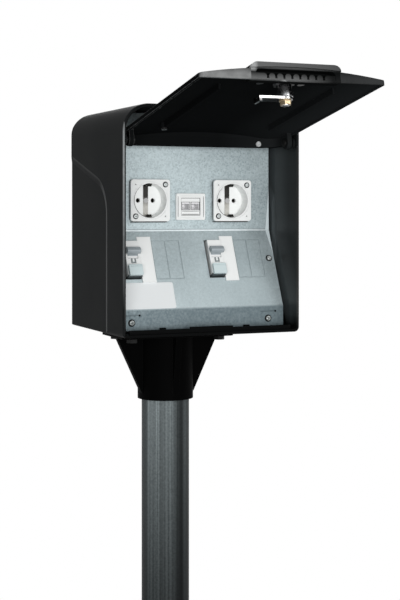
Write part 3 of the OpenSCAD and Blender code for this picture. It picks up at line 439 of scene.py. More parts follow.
# %% Group: edge wear and painted light, inside and recess
INNER_HALF, WALL_HALF, FLOOR_HIGH, CEILING_LOW = 0.1105, 0.1, 1.03, 1.235
WALL_FOOT, WALL_SHINE = (1.018, 1.05), (1.05, 1.21)
PANEL_NEAR, PANEL_LIGHT_NEAR, PANEL_BACK = (0.0, 0.045), (-0.003, 0.014), -0.01
RECESS_HIGH, RECESS_FRONT, RECESS_BORDER = 1.23, -0.1, (0.1117, 0.1122)
TILT_LEAST, TILT_MOST, FRONT_LINE = (0.992, 0.986), (0.96, 0.97), (0.08, 0.185)
PANEL_Y, BEND_Z = (float(v) for v in in_box(BEND_MM)[1:])
inside = wear_and_light.maths("LESS_THAN", half, INNER_HALF)
# This mask marks the box floor for its painted shade.
floor_shade = wear_and_light.times(inside, wear_and_light.maths("LESS_THAN", at_z, FLOOR_HIGH))
on_wall = wear_and_light.times(
    inside,
    wear_and_light.maths("GREATER_THAN", half, WALL_HALF),
    wear_and_light.ramped(at_z, *WALL_FOOT),
    wear_and_light.maths("LESS_THAN", at_z, CEILING_LOW),
)
lean_at_1m = float(np.tan(SLOPE_LEAN)) * (BEND_Z - 1.0)
below_bend = wear_and_light.ramped(at_z, BEND_Z, 1.0, 0.0, lean_at_1m)
in_front = wear_and_light.maths("SUBTRACT", PANEL_Y, wear_and_light.maths("ADD", at_y, below_bend))
by_panel = wear_and_light.ramped(in_front, *PANEL_NEAR, 1.0, 0.3)
core = wear_and_light.times(on_wall, by_panel, wear_and_light.ramped(at_z, *WALL_SHINE, 1.3, 0.65))
# Painted light beside the panel: the wall is lightened as if lit by the zinc.
near = wear_and_light.ramped(in_front, *PANEL_LIGHT_NEAR, 1.0, 0.0)
panel_lit_wall = wear_and_light.times(on_wall, near, wear_and_light.maths("GREATER_THAN", in_front, PANEL_BACK))
facing_x, facing_y, _ = wear_and_light.split(wear_and_light.add("NewGeometry").outputs["Normal"])
outward = wear_and_light.maths("ABSOLUTE", facing_x)
tilted = wear_and_light.times(wear_and_light.ramped(outward, *TILT_LEAST), wear_and_light.ramped(outward, *TILT_MOST))
border = wear_and_light.ramped(half, *RECESS_BORDER, 0.0, 0.35)
# Painted highlight on the bevel of the side recess.
recess_highlight = wear_and_light.times(
    tilted,
    wear_and_light.maths("MAXIMUM", wear_and_light.ramped(facing_y, *FRONT_LINE), border),
    wear_and_light.maths("LESS_THAN", at_z, RECESS_HIGH),
    wear_and_light.maths("GREATER_THAN", at_y, RECESS_FRONT),
)
print("wear nodes:", len(wear_and_light.tree.nodes))

# %% [markdown]
# Each mask now lays its colour over the last one: painted light on the right, the recess's
# painted highlight, the wear with its painted highlight, the floor's painted shade and the
# panel's painted light on the wall.

# %% Group: edge wear and painted light, its colours
FLOOR_SHADE_SHARE, LIT_RIGHT_X = 0.8, (0.025, 0.1)
housing_only = wear_and_light["Inner Polish"]
# Painted light: the right side is lightened.
lit_right = wear_and_light.ramped(at_x, *LIT_RIGHT_X)
tone = wear_and_light.mixed(lit_right, wear_and_light["Colour"], wear_and_light["Bleach"], blend="ADD")
tone = wear_and_light.mixed(wear_and_light.times(recess_highlight, housing_only), tone, wear_and_light["Recess Highlight"])
tone = wear_and_light.mixed(worn_and_lit, tone, wear_and_light["Worn"])
tone = wear_and_light.mixed(wear_and_light.times(floor_shade, FLOOR_SHADE_SHARE), tone, wear_and_light["Floor Shade"])
tone = wear_and_light.mixed(wear_and_light.times(panel_lit_wall, housing_only), tone, wear_and_light["Panel Light"])
shine = wear_and_light.times(worn_and_lit, wear_and_light["Polish Share"])
wear_and_light.give(Colour=tone, Polish=wear_and_light.maths("MAXIMUM", shine, wear_and_light.times(core, housing_only)))

# %% [markdown]
# ## Painted highlights on the grip
# The hood of the grip is painted with highlights. Its rounded upper front and the tips of the
# ribs are painted lighter and given some gloss, fading to the right, and its left shoulder gets a
# brighter painted highlight. Between the two the plastic stays black. Masks over height, depth
# and width give these zones, and the bent normal adds the hood's own edges.

# %% Group: painted grip highlights
grip_highlight = Effect(
    "painted grip highlights",
    ["Colour", "Polish"],
    {
        "Colour": rgba(0.008),
        "Worn": rgba(0.08, 0.082, 0.082),
        "Shoulder Highlight": rgba(0.3, 0.305, 0.305),
        "Soft Normal": (0.0, 0.0, 1.0),
    },
)
HOOD_HEIGHT, RIB_HEIGHT, SHOULDER_HEIGHT = (1.301, 1.3035), (1.2985, 1.292), (1.298, 1.301)
GRIP_FRONT, SHOULDER_X = (-0.3515, -0.3535), (-0.042, -0.046)
HOOD_X, RIB_X, GRIP_LIT_COAT = (-0.03, 0.05), (0.0, 0.044), 0.4
at_x, at_y, at_z = grip_highlight.split(grip_highlight.place())
upper = grip_highlight.ramped(at_z, *HOOD_HEIGHT)
edges = grip_highlight.times(grip_highlight.bent(0.6), upper)
hood = grip_highlight.times(upper, grip_highlight.ramped(at_x, *HOOD_X, 1.0, 0.55))
tips = grip_highlight.times(grip_highlight.ramped(at_z, *RIB_HEIGHT), grip_highlight.ramped(at_x, *RIB_X, 1.0, 0.05))
front = grip_highlight.ramped(at_y, *GRIP_FRONT)
grip_lit = grip_highlight.maths("MAXIMUM", grip_highlight.times(grip_highlight.maths("MAXIMUM", hood, tips), front), edges)
# Painted highlight on the hood's left shoulder.
shoulder_lit = grip_highlight.times(grip_highlight.ramped(at_x, *SHOULDER_X), grip_highlight.ramped(at_z, *SHOULDER_HEIGHT), front)
tone = grip_highlight.mixed(grip_lit, grip_highlight["Colour"], grip_highlight["Worn"])
tone = grip_highlight.mixed(shoulder_lit, tone, grip_highlight["Shoulder Highlight"])
grip_highlight.give(Colour=tone, Polish=grip_highlight.times(grip_lit, GRIP_LIT_COAT))

# %% [markdown]
# ## Painted shade near the floor
# The panel's lip and the corners just above the box floor are painted darker, as shade. A mask
# over height, broken up by noise, darkens the surface there. The lock's cam uses the same group
# for painted shade on its underside.

# %% Group: painted low shade
low_shade = Effect(
    "painted low shade",
    ["Colour"],
    {"Colour": rgba(0.5), "Low Shade": rgba(0.2), "Start": 1.0435, "Full": 1.041},
)
place = low_shade.place()
shaded_low = low_shade.ramped(low_shade.split(place)[2], low_shade["Start"], low_shade["Full"])
uneven = low_shade.ramped(low_shade.noise(place, 320.0, 5.0, 0.65), 0.3, 0.7, 0.75, 1.0)
amount = low_shade.times(shaded_low, uneven)
low_shade.give(Colour=low_shade.mixed(amount, low_shade["Colour"], low_shade["Low Shade"]))

# %% [markdown]
# ## Painted shade on straps and lid screws
# An earth strap is darker in front of a given depth. Its upper half, which sits in the well's
# shade, is painted with that shade. A mask over height and a mask over depth mark both, and the
# larger of the two counts. The mask over height also tells the lid's two screws apart, and the
# upper one is painted darker, as shade.

# %% Group: painted strap and screw shade
strap_screw_shade = Effect(
    "painted strap and screw shade",
    ["Colour"],
    {
        "Colour": rgba(0.5),
        "Painted Shade": rgba(0.012, 0.011, 0.009),
        "Start": 1.163,
        "Full": 1.174,
        "Spring Front": -0.079,
    },
)
SPRING_DEEP = 0.003
_, at_y, at_z = strap_screw_shade.split(strap_screw_shade.place())
upper = strap_screw_shade.ramped(at_z, strap_screw_shade["Start"], strap_screw_shade["Full"])
ahead = strap_screw_shade.maths("SUBTRACT", strap_screw_shade["Spring Front"], at_y)
marked = strap_screw_shade.maths("MAXIMUM", upper, strap_screw_shade.ramped(ahead, 0.0, SPRING_DEEP))
strap_screw_shade.give(Colour=strap_screw_shade.mixed(marked, strap_screw_shade["Colour"], strap_screw_shade["Painted Shade"]))

# %% [markdown]
# ## Painted shade at the feet of the switches
# Each switch is painted darker, as shade, low in the gap between it and its window, and along the
# lowest edge of its nose. Two distances from the panel's bend mark both places: the height above
# the sheet, and the way down the slope.

# %% Group: painted switch foot shade
switch_foot_shade = Effect(
    "painted switch foot shade", ["Colour"], {"Colour": rgba(0.8), "Foot Shade": rgba(0.075, 0.09, 0.095)}
)
FOOT_HIGH, FOOT_SHARE, NOSE_END = (0.0046, 0.0036), 0.3, (0.0572, 0.0582)
place = switch_foot_shade.place()
above_sheet = switch_foot_shade.from_bend(place, SLOPE_OUT)
foot = switch_foot_shade.ramped(above_sheet, *FOOT_HIGH, 0.0, FOOT_SHARE)
low_edge = switch_foot_shade.ramped(switch_foot_shade.from_bend(place, SLOPE_WAY), *NOSE_END)
marked = switch_foot_shade.maths("MAXIMUM", foot, low_edge)
switch_foot_shade.give(Colour=switch_foot_shade.mixed(marked, switch_foot_shade["Colour"], switch_foot_shade["Foot Shade"]))

# %% [markdown]
# ## Two tones of a toggle
# A toggle is white inside its slot and has a grey handle moulded over its upper side. The
# distance from the pivot's axis and the way down the slope tell the two apart.

# %% Group: handle cap
handle_cap = Effect("handle cap", ["Colour"], {"Colour": rgba(0.3), "Barrel": rgba(0.8)})
PIVOT, CAP_RADIUS, CAP_DOWN = on_slope([0.0, -33.1, 0.5]), (0.0066, 0.007), (0.0343, 0.034)
place = handle_cap.place()
from_pivot = handle_cap.vectors("SUBTRACT", place, PIVOT)
across = handle_cap.vectors("MULTIPLY", from_pivot, (0.0, 1.0, 1.0))
outer = handle_cap.ramped(handle_cap.vectors("LENGTH", across), *CAP_RADIUS)
upper_side = handle_cap.ramped(handle_cap.from_bend(place, SLOPE_WAY), *CAP_DOWN)
capped = handle_cap.maths("MAXIMUM", outer, upper_side)
handle_cap.give(Colour=handle_cap.mixed(capped, handle_cap["Barrel"], handle_cap["Colour"]))

# %% [markdown]
# ## Painted shade round a screw head
# The outer edge of a domed head is painted darker, as shade. The heads carry an attribute that
# counts from the middle to the edge, and this group turns it into a dark ring.

# %% Group: painted head shade
head_shade = Effect("painted head shade", ["Colour"], {"Colour": rgba(0.7), "Edge Shade": rgba(0.03)})
RING_REACH = (0.52, 0.74)
reach = head_shade.add("Attribute", {"attribute_name": "from_middle"}).outputs["Fac"]
ring = head_shade.ramped(reach, *RING_REACH)
head_shade.give(Colour=head_shade.mixed(ring, head_shade["Colour"], head_shade["Edge Shade"]))

# %% [markdown]
# ## Putting a finish together
# Every finish is one Principled shader. A group drives colour, roughness and height, and
# whatever is the same all over sits on the shader's own sockets. A Bevel node softens the
# shading at edges: the solids are sharp, but a moulded or pressed edge always catches light.

# %% Helper: one finish
RELIEF_MM = 0.02
materials = {}


def finish(name, group, values, edge_mm=0.5, bump=0.3, over=None, **sockets):
    """Material from a surface group, an overlay group with values, and shader sockets."""
    material = materials[name] = bpy.data.materials.new(name)
    material.use_nodes = True
    make = Nodes(material.node_tree)
    shader = make.tree.nodes["Principled BSDF"]
    for key, value in sockets.items():
        shader.inputs[key.replace("_", " ")].default_value = value
    surface = make.add("Group", {"node_tree": group.tree}, **values).outputs
    edge = make.add("Bevel", {"samples": 4}, Radius=edge_mm * MM).outputs["Normal"]
    relief = make.add("Bump", Strength=bump, Distance=RELIEF_MM * MM, Normal=edge)
    make.feed(relief.inputs["Height"], surface["Height"])
    colour = surface["Colour"]
    if over:
        layer = make.add("Group", {"node_tree": over[0].tree}, Colour=colour, **over[1])
        colour = layer.outputs["Colour"]
        if "Soft Normal" in layer.inputs:
            make.feed(layer.inputs["Soft Normal"], edge)
            make.feed(shader.inputs["Coat Weight"], layer.outputs["Polish"])
    make.feed(shader.inputs["Base Color"], colour)
    make.feed(shader.inputs["Roughness"], surface["Roughness"])
    make.feed(shader.inputs["Normal"], relief.outputs["Normal"])


def toned(dark, light, rough):
    """Inputs that every surface group has: two tones, and two limits of roughness."""
    low, high = rough
    return {"Dark": rgba(*dark), "Light": rgba(*light), "Rough Low": low, "Rough High": high}


def moulded(name, dark, light, rough=(0.4, 0.55), grain_scale=1400.0, **more):
    """Moulded plastic or rubber of two close tones."""
    finish(name, grain, {**toned(dark, light, rough), "Grain Scale": grain_scale}, **more)


def drawn(
    name, dark, light, stretch=(500.0, 500.0, 8.0), rough=(0.25, 0.45), blotch=(30.0, 0.4), **more
):
    """Drawn, rolled or turned metal with streaks along one axis, and blotches."""
    values = {"Stretch": stretch, "Blotch Scale": blotch[0], "Blotch Share": blotch[1]}
    finish(name, streaks, {**toned(dark, light, rough), **values}, **more)


print("finish helpers ready")

# %% [markdown]
# ## Black plastic
# Box, lid, grip and collar are black grained plastic or powder coat with little gloss. They
# differ in how dark they are, in where they wear, and in where highlights and light are painted
# on them.

# %% Finishes: black parts
HOUSING_FRONT, HOUSING_RIM, LID_FRONT, NOWHERE = -0.1488, 0.1107, -0.3535, -9.0
MATT, DUSTY, COARSE = (0.5, 0.62), (0.7, 0.85), 1100.0


def black(name, tone, gloss, **wear_and_light_values):
    """Black grained plastic with its own wear and painted light."""
    dark = (0.9 * tone, tone, 1.03 * tone)
    light = (1.25 * tone, 1.35 * tone, 1.4 * tone)
    shader = {"Specular_IOR_Level": gloss, "Coat_Roughness": 0.3}
    moulded(name, dark, light, MATT, COARSE, edge_mm=0.9, over=(wear_and_light, wear_and_light_values), **shader)


# Lighter edges and handled fronts are partly painted highlights, and the lid is painted lighter
# on its right, as light.
black(
    "collar_black", 0.0014, 0.01,
    Worn=rgba(0.02, 0.021, 0.021), Front=NOWHERE, Polish_Share=0.1, Edge_Gain=2.5,
    Fade_Rest=1.0, Fade_Low=0.0, Fade_High=0.5,
)
black(
    "black_shell", 0.0105, 0.018,
    Worn=rgba(0.27, 0.285, 0.289), Front=HOUSING_FRONT, Front_Half=HOUSING_RIM, Edge_Gain=0.8,
    Polish_Share=0.5, Inner_Polish=1.0, Fade_Low=1.045, Fade_High=1.2,
)
black(
    "black_lid", 0.0062, 0.0,
    Worn=rgba(0.17, 0.174, 0.173), Front=LID_FRONT, Polish_Share=0.7, Edge_Gain=3.0,
    Edge_Half=0.09, Bleach=rgba(0.009, 0.01, 0.0105),
    Fade_Start=-0.04, Fade_End=0.05, Fade_Rest=0.1,
)
moulded(
    "black_grip", (0.0055, 0.006, 0.006), (0.0075, 0.008, 0.008), MATT, COARSE,
    edge_mm=0.9, over=(grip_highlight, {}), Specular_IOR_Level=0.0, Coat_Roughness=0.3,
)
moulded(
    "rubber_black", (0.008, 0.009, 0.009), (0.014, 0.015, 0.015), DUSTY, 700.0,
    Specular_IOR_Level=0.1,
)
print("finishes so far:", len(materials))

# %% [markdown]
# ## Metals
# The tube is bare dark steel with lighter scale, and the panel is zinc sheet. Straps, cam and
# screws are drawn or turned steel, and the contacts and the cam's nut are brass.

# %% Finishes: tube and panel
# The tube's bands and darker foot are painted light and shade.
drawn(
    "post_steel", (0.09, 0.106, 0.11), (0.42, 0.48, 0.49),
    (560.0, 560.0, 2.0), (0.42, 0.6), (420.0, 0.4),
    over=(tube_light, {"Dark": rgba(0.003, 0.0034, 0.0036)}), Specular_IOR_Level=0.05,
)
# The zinc panel is painted darker on its right and near the floor, as shade.
finish(
    "panel_zinc", spangle, toned((0.17, 0.215, 0.23), (0.68, 0.775, 0.795), (0.42, 0.62)),
    edge_mm=0.8, bump=0.12, over=(low_shade, {"Low Shade": rgba(0.1, 0.135, 0.15)}),
    Metallic=0.4, Specular_IOR_Level=0.2,
)
ROLLED = (200.0, 200.0, 30.0)
drawn(
    "crease_zinc", (0.6, 0.67, 0.69), (0.76, 0.83, 0.85), ROLLED, (0.35, 0.5), Metallic=0.3
)
drawn(
    "pressed_zinc", (0.5, 0.575, 0.595), (0.62, 0.695, 0.715), ROLLED, (0.45, 0.6),
    Specular_IOR_Level=0.3,
)
print("finishes so far:", len(materials))

# %% Finishes: small metal parts
POLISHED = ((900.0, 900.0, 40.0), (0.12, 0.25), (60.0, 0.3))
CAST = (300.0, 300.0, 300.0)
# The cam's underside and the upper lid screw are painted darker, as shade.
CAM_SHADE = {"Low Shade": rgba(0.03, 0.03, 0.032), "Start": 1.2745, "Full": 1.273}
UPPER_SCREW = {"Painted Shade": rgba(0.022), "Start": 1.243, "Full": 1.247, "Spring Front": NOWHERE}
drawn("dark_screw", (0.006,), (0.012,), Metallic=0.2, Specular_IOR_Level=0.1)
drawn("bright_steel", (0.3, 0.31, 0.31), (0.52, 0.53, 0.52), Metallic=0.9)
# The strap's upper half is painted darker, as shade.
drawn(
    "strap_steel", (0.4, 0.39, 0.36), (0.7, 0.69, 0.65), (120.0, 120.0, 120.0), (0.3, 0.45),
    (90.0, 0.5), over=(strap_screw_shade, {}), Specular_IOR_Level=0.25,
)
drawn(
    "brass", (0.08, 0.052, 0.025), (0.72, 0.58, 0.38), (700.0, 700.0, 500.0), (0.2, 0.4),
    (350.0, 0.5), Metallic=1.0,
)
# Near-black brass for the pin contacts: painted shade inside the pin holes.
drawn(
    "hole_shade_brass", (0.012, 0.011, 0.009), (0.03, 0.027, 0.02),
    Metallic=0.3, Specular_IOR_Level=0.1,
)
drawn("lock_chrome", (0.45, 0.46, 0.47), (0.7, 0.71, 0.72), *POLISHED, Metallic=1.0)
drawn(
    "cam_steel", (0.5, 0.5, 0.49), (0.72, 0.72, 0.7), *POLISHED,
    over=(low_shade, CAM_SHADE), Metallic=1.0,
)
# Both head finishes paint shade round the head's edge; the lip's heads are also a darker copy, as
# painted shade.
drawn(
    "screw_zinc_shaded", (0.2, 0.22, 0.22), (0.4, 0.43, 0.42), CAST,
    over=(head_shade, {"Edge Shade": rgba(0.012, 0.014, 0.015)}), Metallic=0.5,
)
drawn(
    "screw_zinc", (0.42, 0.45, 0.45), (0.7, 0.73, 0.72), CAST,
    over=(head_shade, {"Edge Shade": rgba(0.03, 0.035, 0.036)}), Metallic=0.5,
)
drawn(
    "lid_screw_steel", (0.5, 0.52, 0.52), (0.74, 0.76, 0.76),
    over=(strap_screw_shade, UPPER_SCREW), Metallic=0.2, Specular_IOR_Level=0.1,
)
print("finishes so far:", len(materials))

# %% [markdown]
# ## Pale plastic and painted shade
# Sockets, outlet and switches are smooth white plastic, with grey toggles and blue-grey keys.
# The lines of painted shade that stand for seams and gaps are finishes of their own.

# %% Finishes: pale parts and painted shade
WHITE = ((0.89, 0.905, 0.895), (0.93, 0.945, 0.935), (0.28, 0.36), 2200.0)
SATIN, FINE = (0.35, 0.45), 2000.0
moulded("white_plastic", *WHITE, edge_mm=0.6, bump=0.06, Specular_IOR_Level=0.35)
# Switches are painted darker at their feet, as shade.
moulded("switch_white", *WHITE, edge_mm=0.6, bump=0.06, over=(switch_foot_shade, {}))
moulded(
    "label_white", (0.8, 0.825, 0.83), (0.84, 0.865, 0.87), (0.4, 0.5), 1800.0,
    bump=0.04, Specular_IOR_Level=0.2,
)
moulded("carrier_plastic", (0.42,), (0.5,))
moulded("jack_grey", (0.86, 0.86, 0.87), (0.91, 0.91, 0.92))
moulded(
    "toggle_grey", (0.33, 0.375, 0.4), (0.39, 0.435, 0.46), SATIN, FINE,
    edge_mm=0.8, over=(handle_cap, {}),
)
moulded("key_grey", (0.6, 0.705, 0.715), (0.66, 0.765, 0.775), SATIN, FINE, edge_mm=0.8)
moulded("flag_grey", (0.2, 0.23, 0.235), (0.26, 0.29, 0.295))
# Grey of painted shade for the wells' rims and the outlet's gaps; below it, a darker grey for
# painted shadow under the flanges.
moulded("shade_grey", (0.1, 0.1, 0.105), (0.16, 0.16, 0.165), Specular_IOR_Level=0.1)
moulded(
    "shadow_dark", (0.05, 0.055, 0.056), (0.1, 0.106, 0.108), DUSTY, Specular_IOR_Level=0.1
)
print("finishes:", len(materials))

# %% [markdown]
# ## A finish for every imported piece
# The record names a finish for each piece. A few pieces look different from others of the same
# stuff, so they get a finish of their own, and some of those finishes paint shade.

# %% Finishes on the imported pieces
slot_of = {entry["node"]: entry["material_slot"] for entry in frame["record"]["subparts"]}
own_finish = {
    "lid": "black_lid",
    "lid_grip": "black_grip",
    "grip_screws": "dark_screw",
    "lid_screws": "lid_screw_steel",
    "lock_nut": "dark_screw",
    "lock_cam": "cam_steel",
    "socket_centre_screws": "carrier_plastic",
    "data_contacts": "jack_grey",
}
for side in ("left", "right"):
    own_finish[side + "_switch_body"] = "switch_white"
    own_finish[side + "_earth_clip"] = "strap_steel"
    own_finish[side + "_pin_contacts"] = "hole_shade_brass"
for name, node in nodes.items():
    node.data.materials.clear()
    node.data.materials.append(materials[own_finish.get(name, slot_of[name])])
print("dressed:", len(nodes), "pieces,", len(own_finish), "with a finish of their own")

# %% [markdown]
# ## Surfaces from grids
# Screw heads, stuck-on or pressed trim and strips of painted shade are small closed surfaces,
# each worked out over a grid of two parameters. `piece_from_grids` turns such grids into one mesh
# of quads, merges the points that fall together at poles and seams, and lets the piece ride on
# the post.

# %% Helper: piece from grids
MERGE = 2e-6


def mesh_of(name, grids):
    """Mesh of (m, n, 3) grids of model points: each cell of a grid is one quad."""
    quads, start = [], 0
    for rows, columns, _ in (grid.shape for grid in grids):
        index = start + np.arange(rows * columns).reshape(rows, columns)
        corners = [index[:-1, :-1], index[1:, :-1], index[1:, 1:], index[:-1, 1:]]
        quads.append(np.stack(corners, axis=-1).reshape(-1, 4))
        start += rows * columns
    points = np.concatenate([grid.reshape(-1, 3) for grid in grids])
    mesh = bpy.data.meshes.new(name)
    mesh.from_pydata(points.tolist(), [], np.concatenate(quads).tolist())
    return mesh


def piece_from_grids(name, grids, finish_name, reach=None):
    """Closed piece of grids; reach is the attribute of each grid's points, if any."""
    mesh = mesh_of(name, grids)
    if reach is not None:
        values = mesh.attributes.new("from_middle", "FLOAT", "POINT")
        values.data.foreach_set("value", np.tile(np.ravel(reach), len(grids)).astype(np.float32))
    work = bmesh.new()
    work.from_mesh(mesh)
    bmesh.ops.remove_doubles(work, verts=work.verts, dist=MERGE)
    bmesh.ops.recalc_face_normals(work, faces=work.faces)
    work.to_mesh(mesh)
    work.free()
    mesh.materials.append(materials[finish_name])
    piece = bpy.data.objects.new(name, mesh)
    bpy.context.scene.collection.objects.link(piece)
    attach(piece, "post")
    print(name, "has", len(mesh.polygons), "faces")
    return piece


def facing_front(local, place_mm):
    """Local X, Y and height become X, Z and -Y of the box, at a place."""
    turned = np.stack([local[..., 0], -local[..., 2], local[..., 1]], axis=-1)
    return in_box(turned + np.asarray(place_mm))


print("grid helpers ready")

# %% [markdown]
# ## Domed screw heads
# The panel and the sockets are held by small pan heads with a cross recess. A head is a
# profile turned about its axis: a low dome that falls off steeply at its edge. The cross is
# pressed into the dome, as a dip that is deepest along two lines through the middle.

# %% Helper: screw heads
HEAD_TURNS = 64
PROFILE = np.array([
    [0.0, 1.0], [0.1, 0.995], [0.2, 0.985], [0.3, 0.965], [0.4, 0.94],
    [0.5, 0.9], [0.6, 0.85], [0.7, 0.78], [0.8, 0.68], [0.88, 0.55],
    [0.95, 0.36], [1.0, 0.12], [1.0, -0.15], [0.5, -0.15], [0.0, -0.15],
])
HEAD_REACH, HEAD_RISE = (np.repeat(PROFILE[:, [i]], HEAD_TURNS + 1, axis=1) for i in (0, 1))
CROSS_REACH, CROSS_WIDE, CROSS_DEEP = 0.55, 0.16, 0.5


def screw_head(radius, height, turn):
    """Dome: z = height * rise(reach), less a dip along the arms of a cross in its middle."""
    angle = np.linspace(0.0, 2.0 * np.pi, HEAD_TURNS + 1)
    x, y = HEAD_REACH * np.cos(angle) * radius, HEAD_REACH * np.sin(angle) * radius
    arm = np.abs(np.sin(2.0 * (angle + turn))) * HEAD_REACH
    inside = np.clip(1.0 - HEAD_REACH / CROSS_REACH, 0.0, 1.0) * (HEAD_RISE > 0.3)
    dip = np.exp(-((arm / CROSS_WIDE) ** 2)) * np.clip(inside * 2.0, 0.0, 1.0)
    return np.stack([x, y, height * (HEAD_RISE - CROSS_DEEP * dip)], axis=-1)


def heads(name, grids, finish_name, node):
    """Screw heads as one piece, in place of the plain ones of a node."""
    piece = piece_from_grids(name, grids, finish_name, HEAD_REACH)
    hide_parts(node)


print("screw head helper ready:", len(PROFILE), "rings")

# %% Screw heads of panel and sockets
SLOPE_LONG_MM, LIP_FOOT_MM, LIP_SCREW_DROP_MM = 100.3, 5.7, 2.5
LIP_MM = BEND_MM + SLOPE_LONG_MM * SLOPE_WAY
LIP_SCREW_X_MM = (-92.0, 84.0)
LIP_SCREW_Z_MM = (LIP_MM[2] + LIP_FOOT_MM) / 2.0 - LIP_SCREW_DROP_MM
SLOPE_SCREW_X_MM, SLOPE_SCREW_DOWN_MM = (-97.4, 97.4), 38.0
# radius and height of the heads
LIP_HEAD_MM, SLOPE_HEAD_MM, SOCKET_HEAD_MM = (4.4, 2.6), (4.2, 2.4), (3.5, 1.8)
SOCKET_X_MM, SOCKET_Z_MM, SOCKET_FACE_MM, CORNER_MM = (-55.55, 52.15), 157.5, 60.0, 19.0


def socket_corners(rise):
    """Two opposite corners of each socket; rise is 1 where the right one is the upper one."""
    return [
        (x + side * CORNER_MM, SOCKET_FACE_MM, SOCKET_Z_MM + rise * side * CORNER_MM)
        for x in SOCKET_X_MM
        for side in (-1, 1)
    ]


lip_places = [(x, LIP_MM[1], LIP_SCREW_Z_MM) for x in LIP_SCREW_X_MM]
slope_places = [np.array([x, -SLOPE_SCREW_DOWN_MM, 0.0]) for x in SLOPE_SCREW_X_MM]
lip_heads = [
    facing_front(screw_head(*LIP_HEAD_MM, 0.4 * i), p) for i, p in enumerate(lip_places)
]
slope_heads = [
    on_slope(screw_head(*SLOPE_HEAD_MM, 0.7 + i) + p) for i, p in enumerate(slope_places)
]
socket_heads = [
    facing_front(screw_head(*SOCKET_HEAD_MM, 0.5 * i), p)
    for i, p in enumerate(socket_corners(1))
]
heads("lip_screw_heads", lip_heads, "screw_zinc_shaded", "lip_screws")
heads("slope_screw_heads", slope_heads, "screw_zinc", "slope_screws")
heads("socket_screw_heads", socket_heads, "screw_zinc", "socket_screws")

# %% [markdown]
# ## Blank label
# A white film label sits on the lower left of the slope, and its face is bare. It is a very
# thin plate: a flat middle inside a superellipse, whose high power keeps the corners tight.

# %% Label on the slope
PLATE_POWER, PLATE_TURNS = 22.0, 360
PLATE_REACH = np.array([0.0, 0.5, 0.97, 1.0, 1.0, 0.5, 0.0])
PLATE_RISE = np.array([1.0, 1.0, 1.0, 0.7, 0.0, 0.0, 0.0])


def thin_plate(half_x, half_y, thickness):
    """Superellipse |x/a|^n + |y/b|^n = 1, scaled inwards by reach and lifted by rise."""
    angle = np.linspace(0.0, 2.0 * np.pi, PLATE_TURNS + 1)
    cos, sin = np.cos(angle), np.sin(angle)
    powers = (np.abs(cos) / half_x) ** PLATE_POWER + (np.abs(sin) / half_y) ** PLATE_POWER
    rim = powers ** (-1.0 / PLATE_POWER)
    x, y = np.outer(PLATE_REACH, rim * cos), np.outer(PLATE_REACH, rim * sin)
    z = np.repeat(PLATE_RISE[:, None] * thickness, PLATE_TURNS + 1, axis=1)
    return np.stack([x, y, z], axis=-1)


LABEL_SIZE_MM, LABEL_PLACE_MM = (34.0, 16.4, 0.2), np.array([-69.3, -82.6, 0.03])
label_grid = on_slope(thin_plate(*LABEL_SIZE_MM) + LABEL_PLACE_MM)
piece_from_grids("blank_label", [label_grid], "label_white")

# %% [markdown]
# ## Painted shade round the sockets
# A grey line of painted shade lies along the rim at the lower left of each well. The line is a
# flat strip along an arc, and its width and height run out to nothing at both ends. A painted
# shadow lies on the panel under each flange, and dots of painted shade sit in the two dimples
# that the mould left in the corners without a screw.

# %% Well arcs
WELL_RADIUS_MM, ARC_WIDE_MM, ARC_GAP_MM = 20.5, 0.7, 0.05
ARC_TURN = np.radians(np.linspace(128.0, 288.0, 81))
ARC_OUT = np.array([0.0, 1.0, 1.0, 0.0, 0.0])[:, None]
ARC_LIFT_MM = np.array([0.03, 0.03, -0.1, -0.1, 0.03])[:, None]


def rim_shade_arc(middle_x):
    """Strip from the well's radius outwards: width and height follow the root of sin(pi t)."""
    taper = np.sqrt(np.abs(np.sin(np.linspace(0.0, np.pi, ARC_TURN.size))))
    taper[[0, -1]] = 0.0
    outward = ARC_OUT * ARC_WIDE_MM * taper + WELL_RADIUS_MM + ARC_GAP_MM
    strip = [outward * np.cos(ARC_TURN), ARC_LIFT_MM * taper, outward * np.sin(ARC_TURN)]
    return in_box(np.stack(strip, axis=-1) + np.array([middle_x, SOCKET_FACE_MM, SOCKET_Z_MM]))


piece_from_grids("well_rim_shade", [rim_shade_arc(x) for x in SOCKET_X_MM], "shade_grey")

# %% Painted shadow under the flanges, and shade in the dimples
FOOT_SIZE_MM, FOOT_DROP_MM, DIMPLE_SIZE_MM = (24.0, 0.75, 0.1), 25.75, (0.55, 0.55, 0.05)
flange_shadow, dimple = thin_plate(*FOOT_SIZE_MM), thin_plate(*DIMPLE_SIZE_MM)
foot_places = [(x, BEND_MM[1], SOCKET_Z_MM - FOOT_DROP_MM) for x in SOCKET_X_MM]
shadow_plates = [facing_front(flange_shadow, p) for p in foot_places]
shadow_plates += [facing_front(dimple, p) for p in socket_corners(-1)]
piece_from_grids("socket_shadows", shadow_plates, "shadow_dark")

# %% [markdown]
# ## Painted shade in the seams of the data outlet
# The outlet's cover, insert and jacks are separate mouldings, and a fine line of painted shade
# marks the gaps where they meet. Round the insert and the jacks that line is a flat rectangular
# ring: four mitred corners, with a small square section carried round them. Beside the cover and
# under the jacks it is a straight bar, made as a very narrow plate.

# %% Outlet seams of painted shade
OUTLET_MM = np.array([-2.0, BEND_MM[1], 150.0])
SEAM_MM, INSERT_MM, COVER_MM, BAR_MM = 0.6, -2.5, -3.5, 0.1
PROUD_MM, LET_IN_MM = -0.08, 0.05
# half width, half height, middle X and middle Z of each ring
RINGS_MM = [(12.3, 10.3, 0.0, 0.0), (5.6, 4.6, -6.3, 1.0), (5.6, 4.6, 6.3, 1.0)]
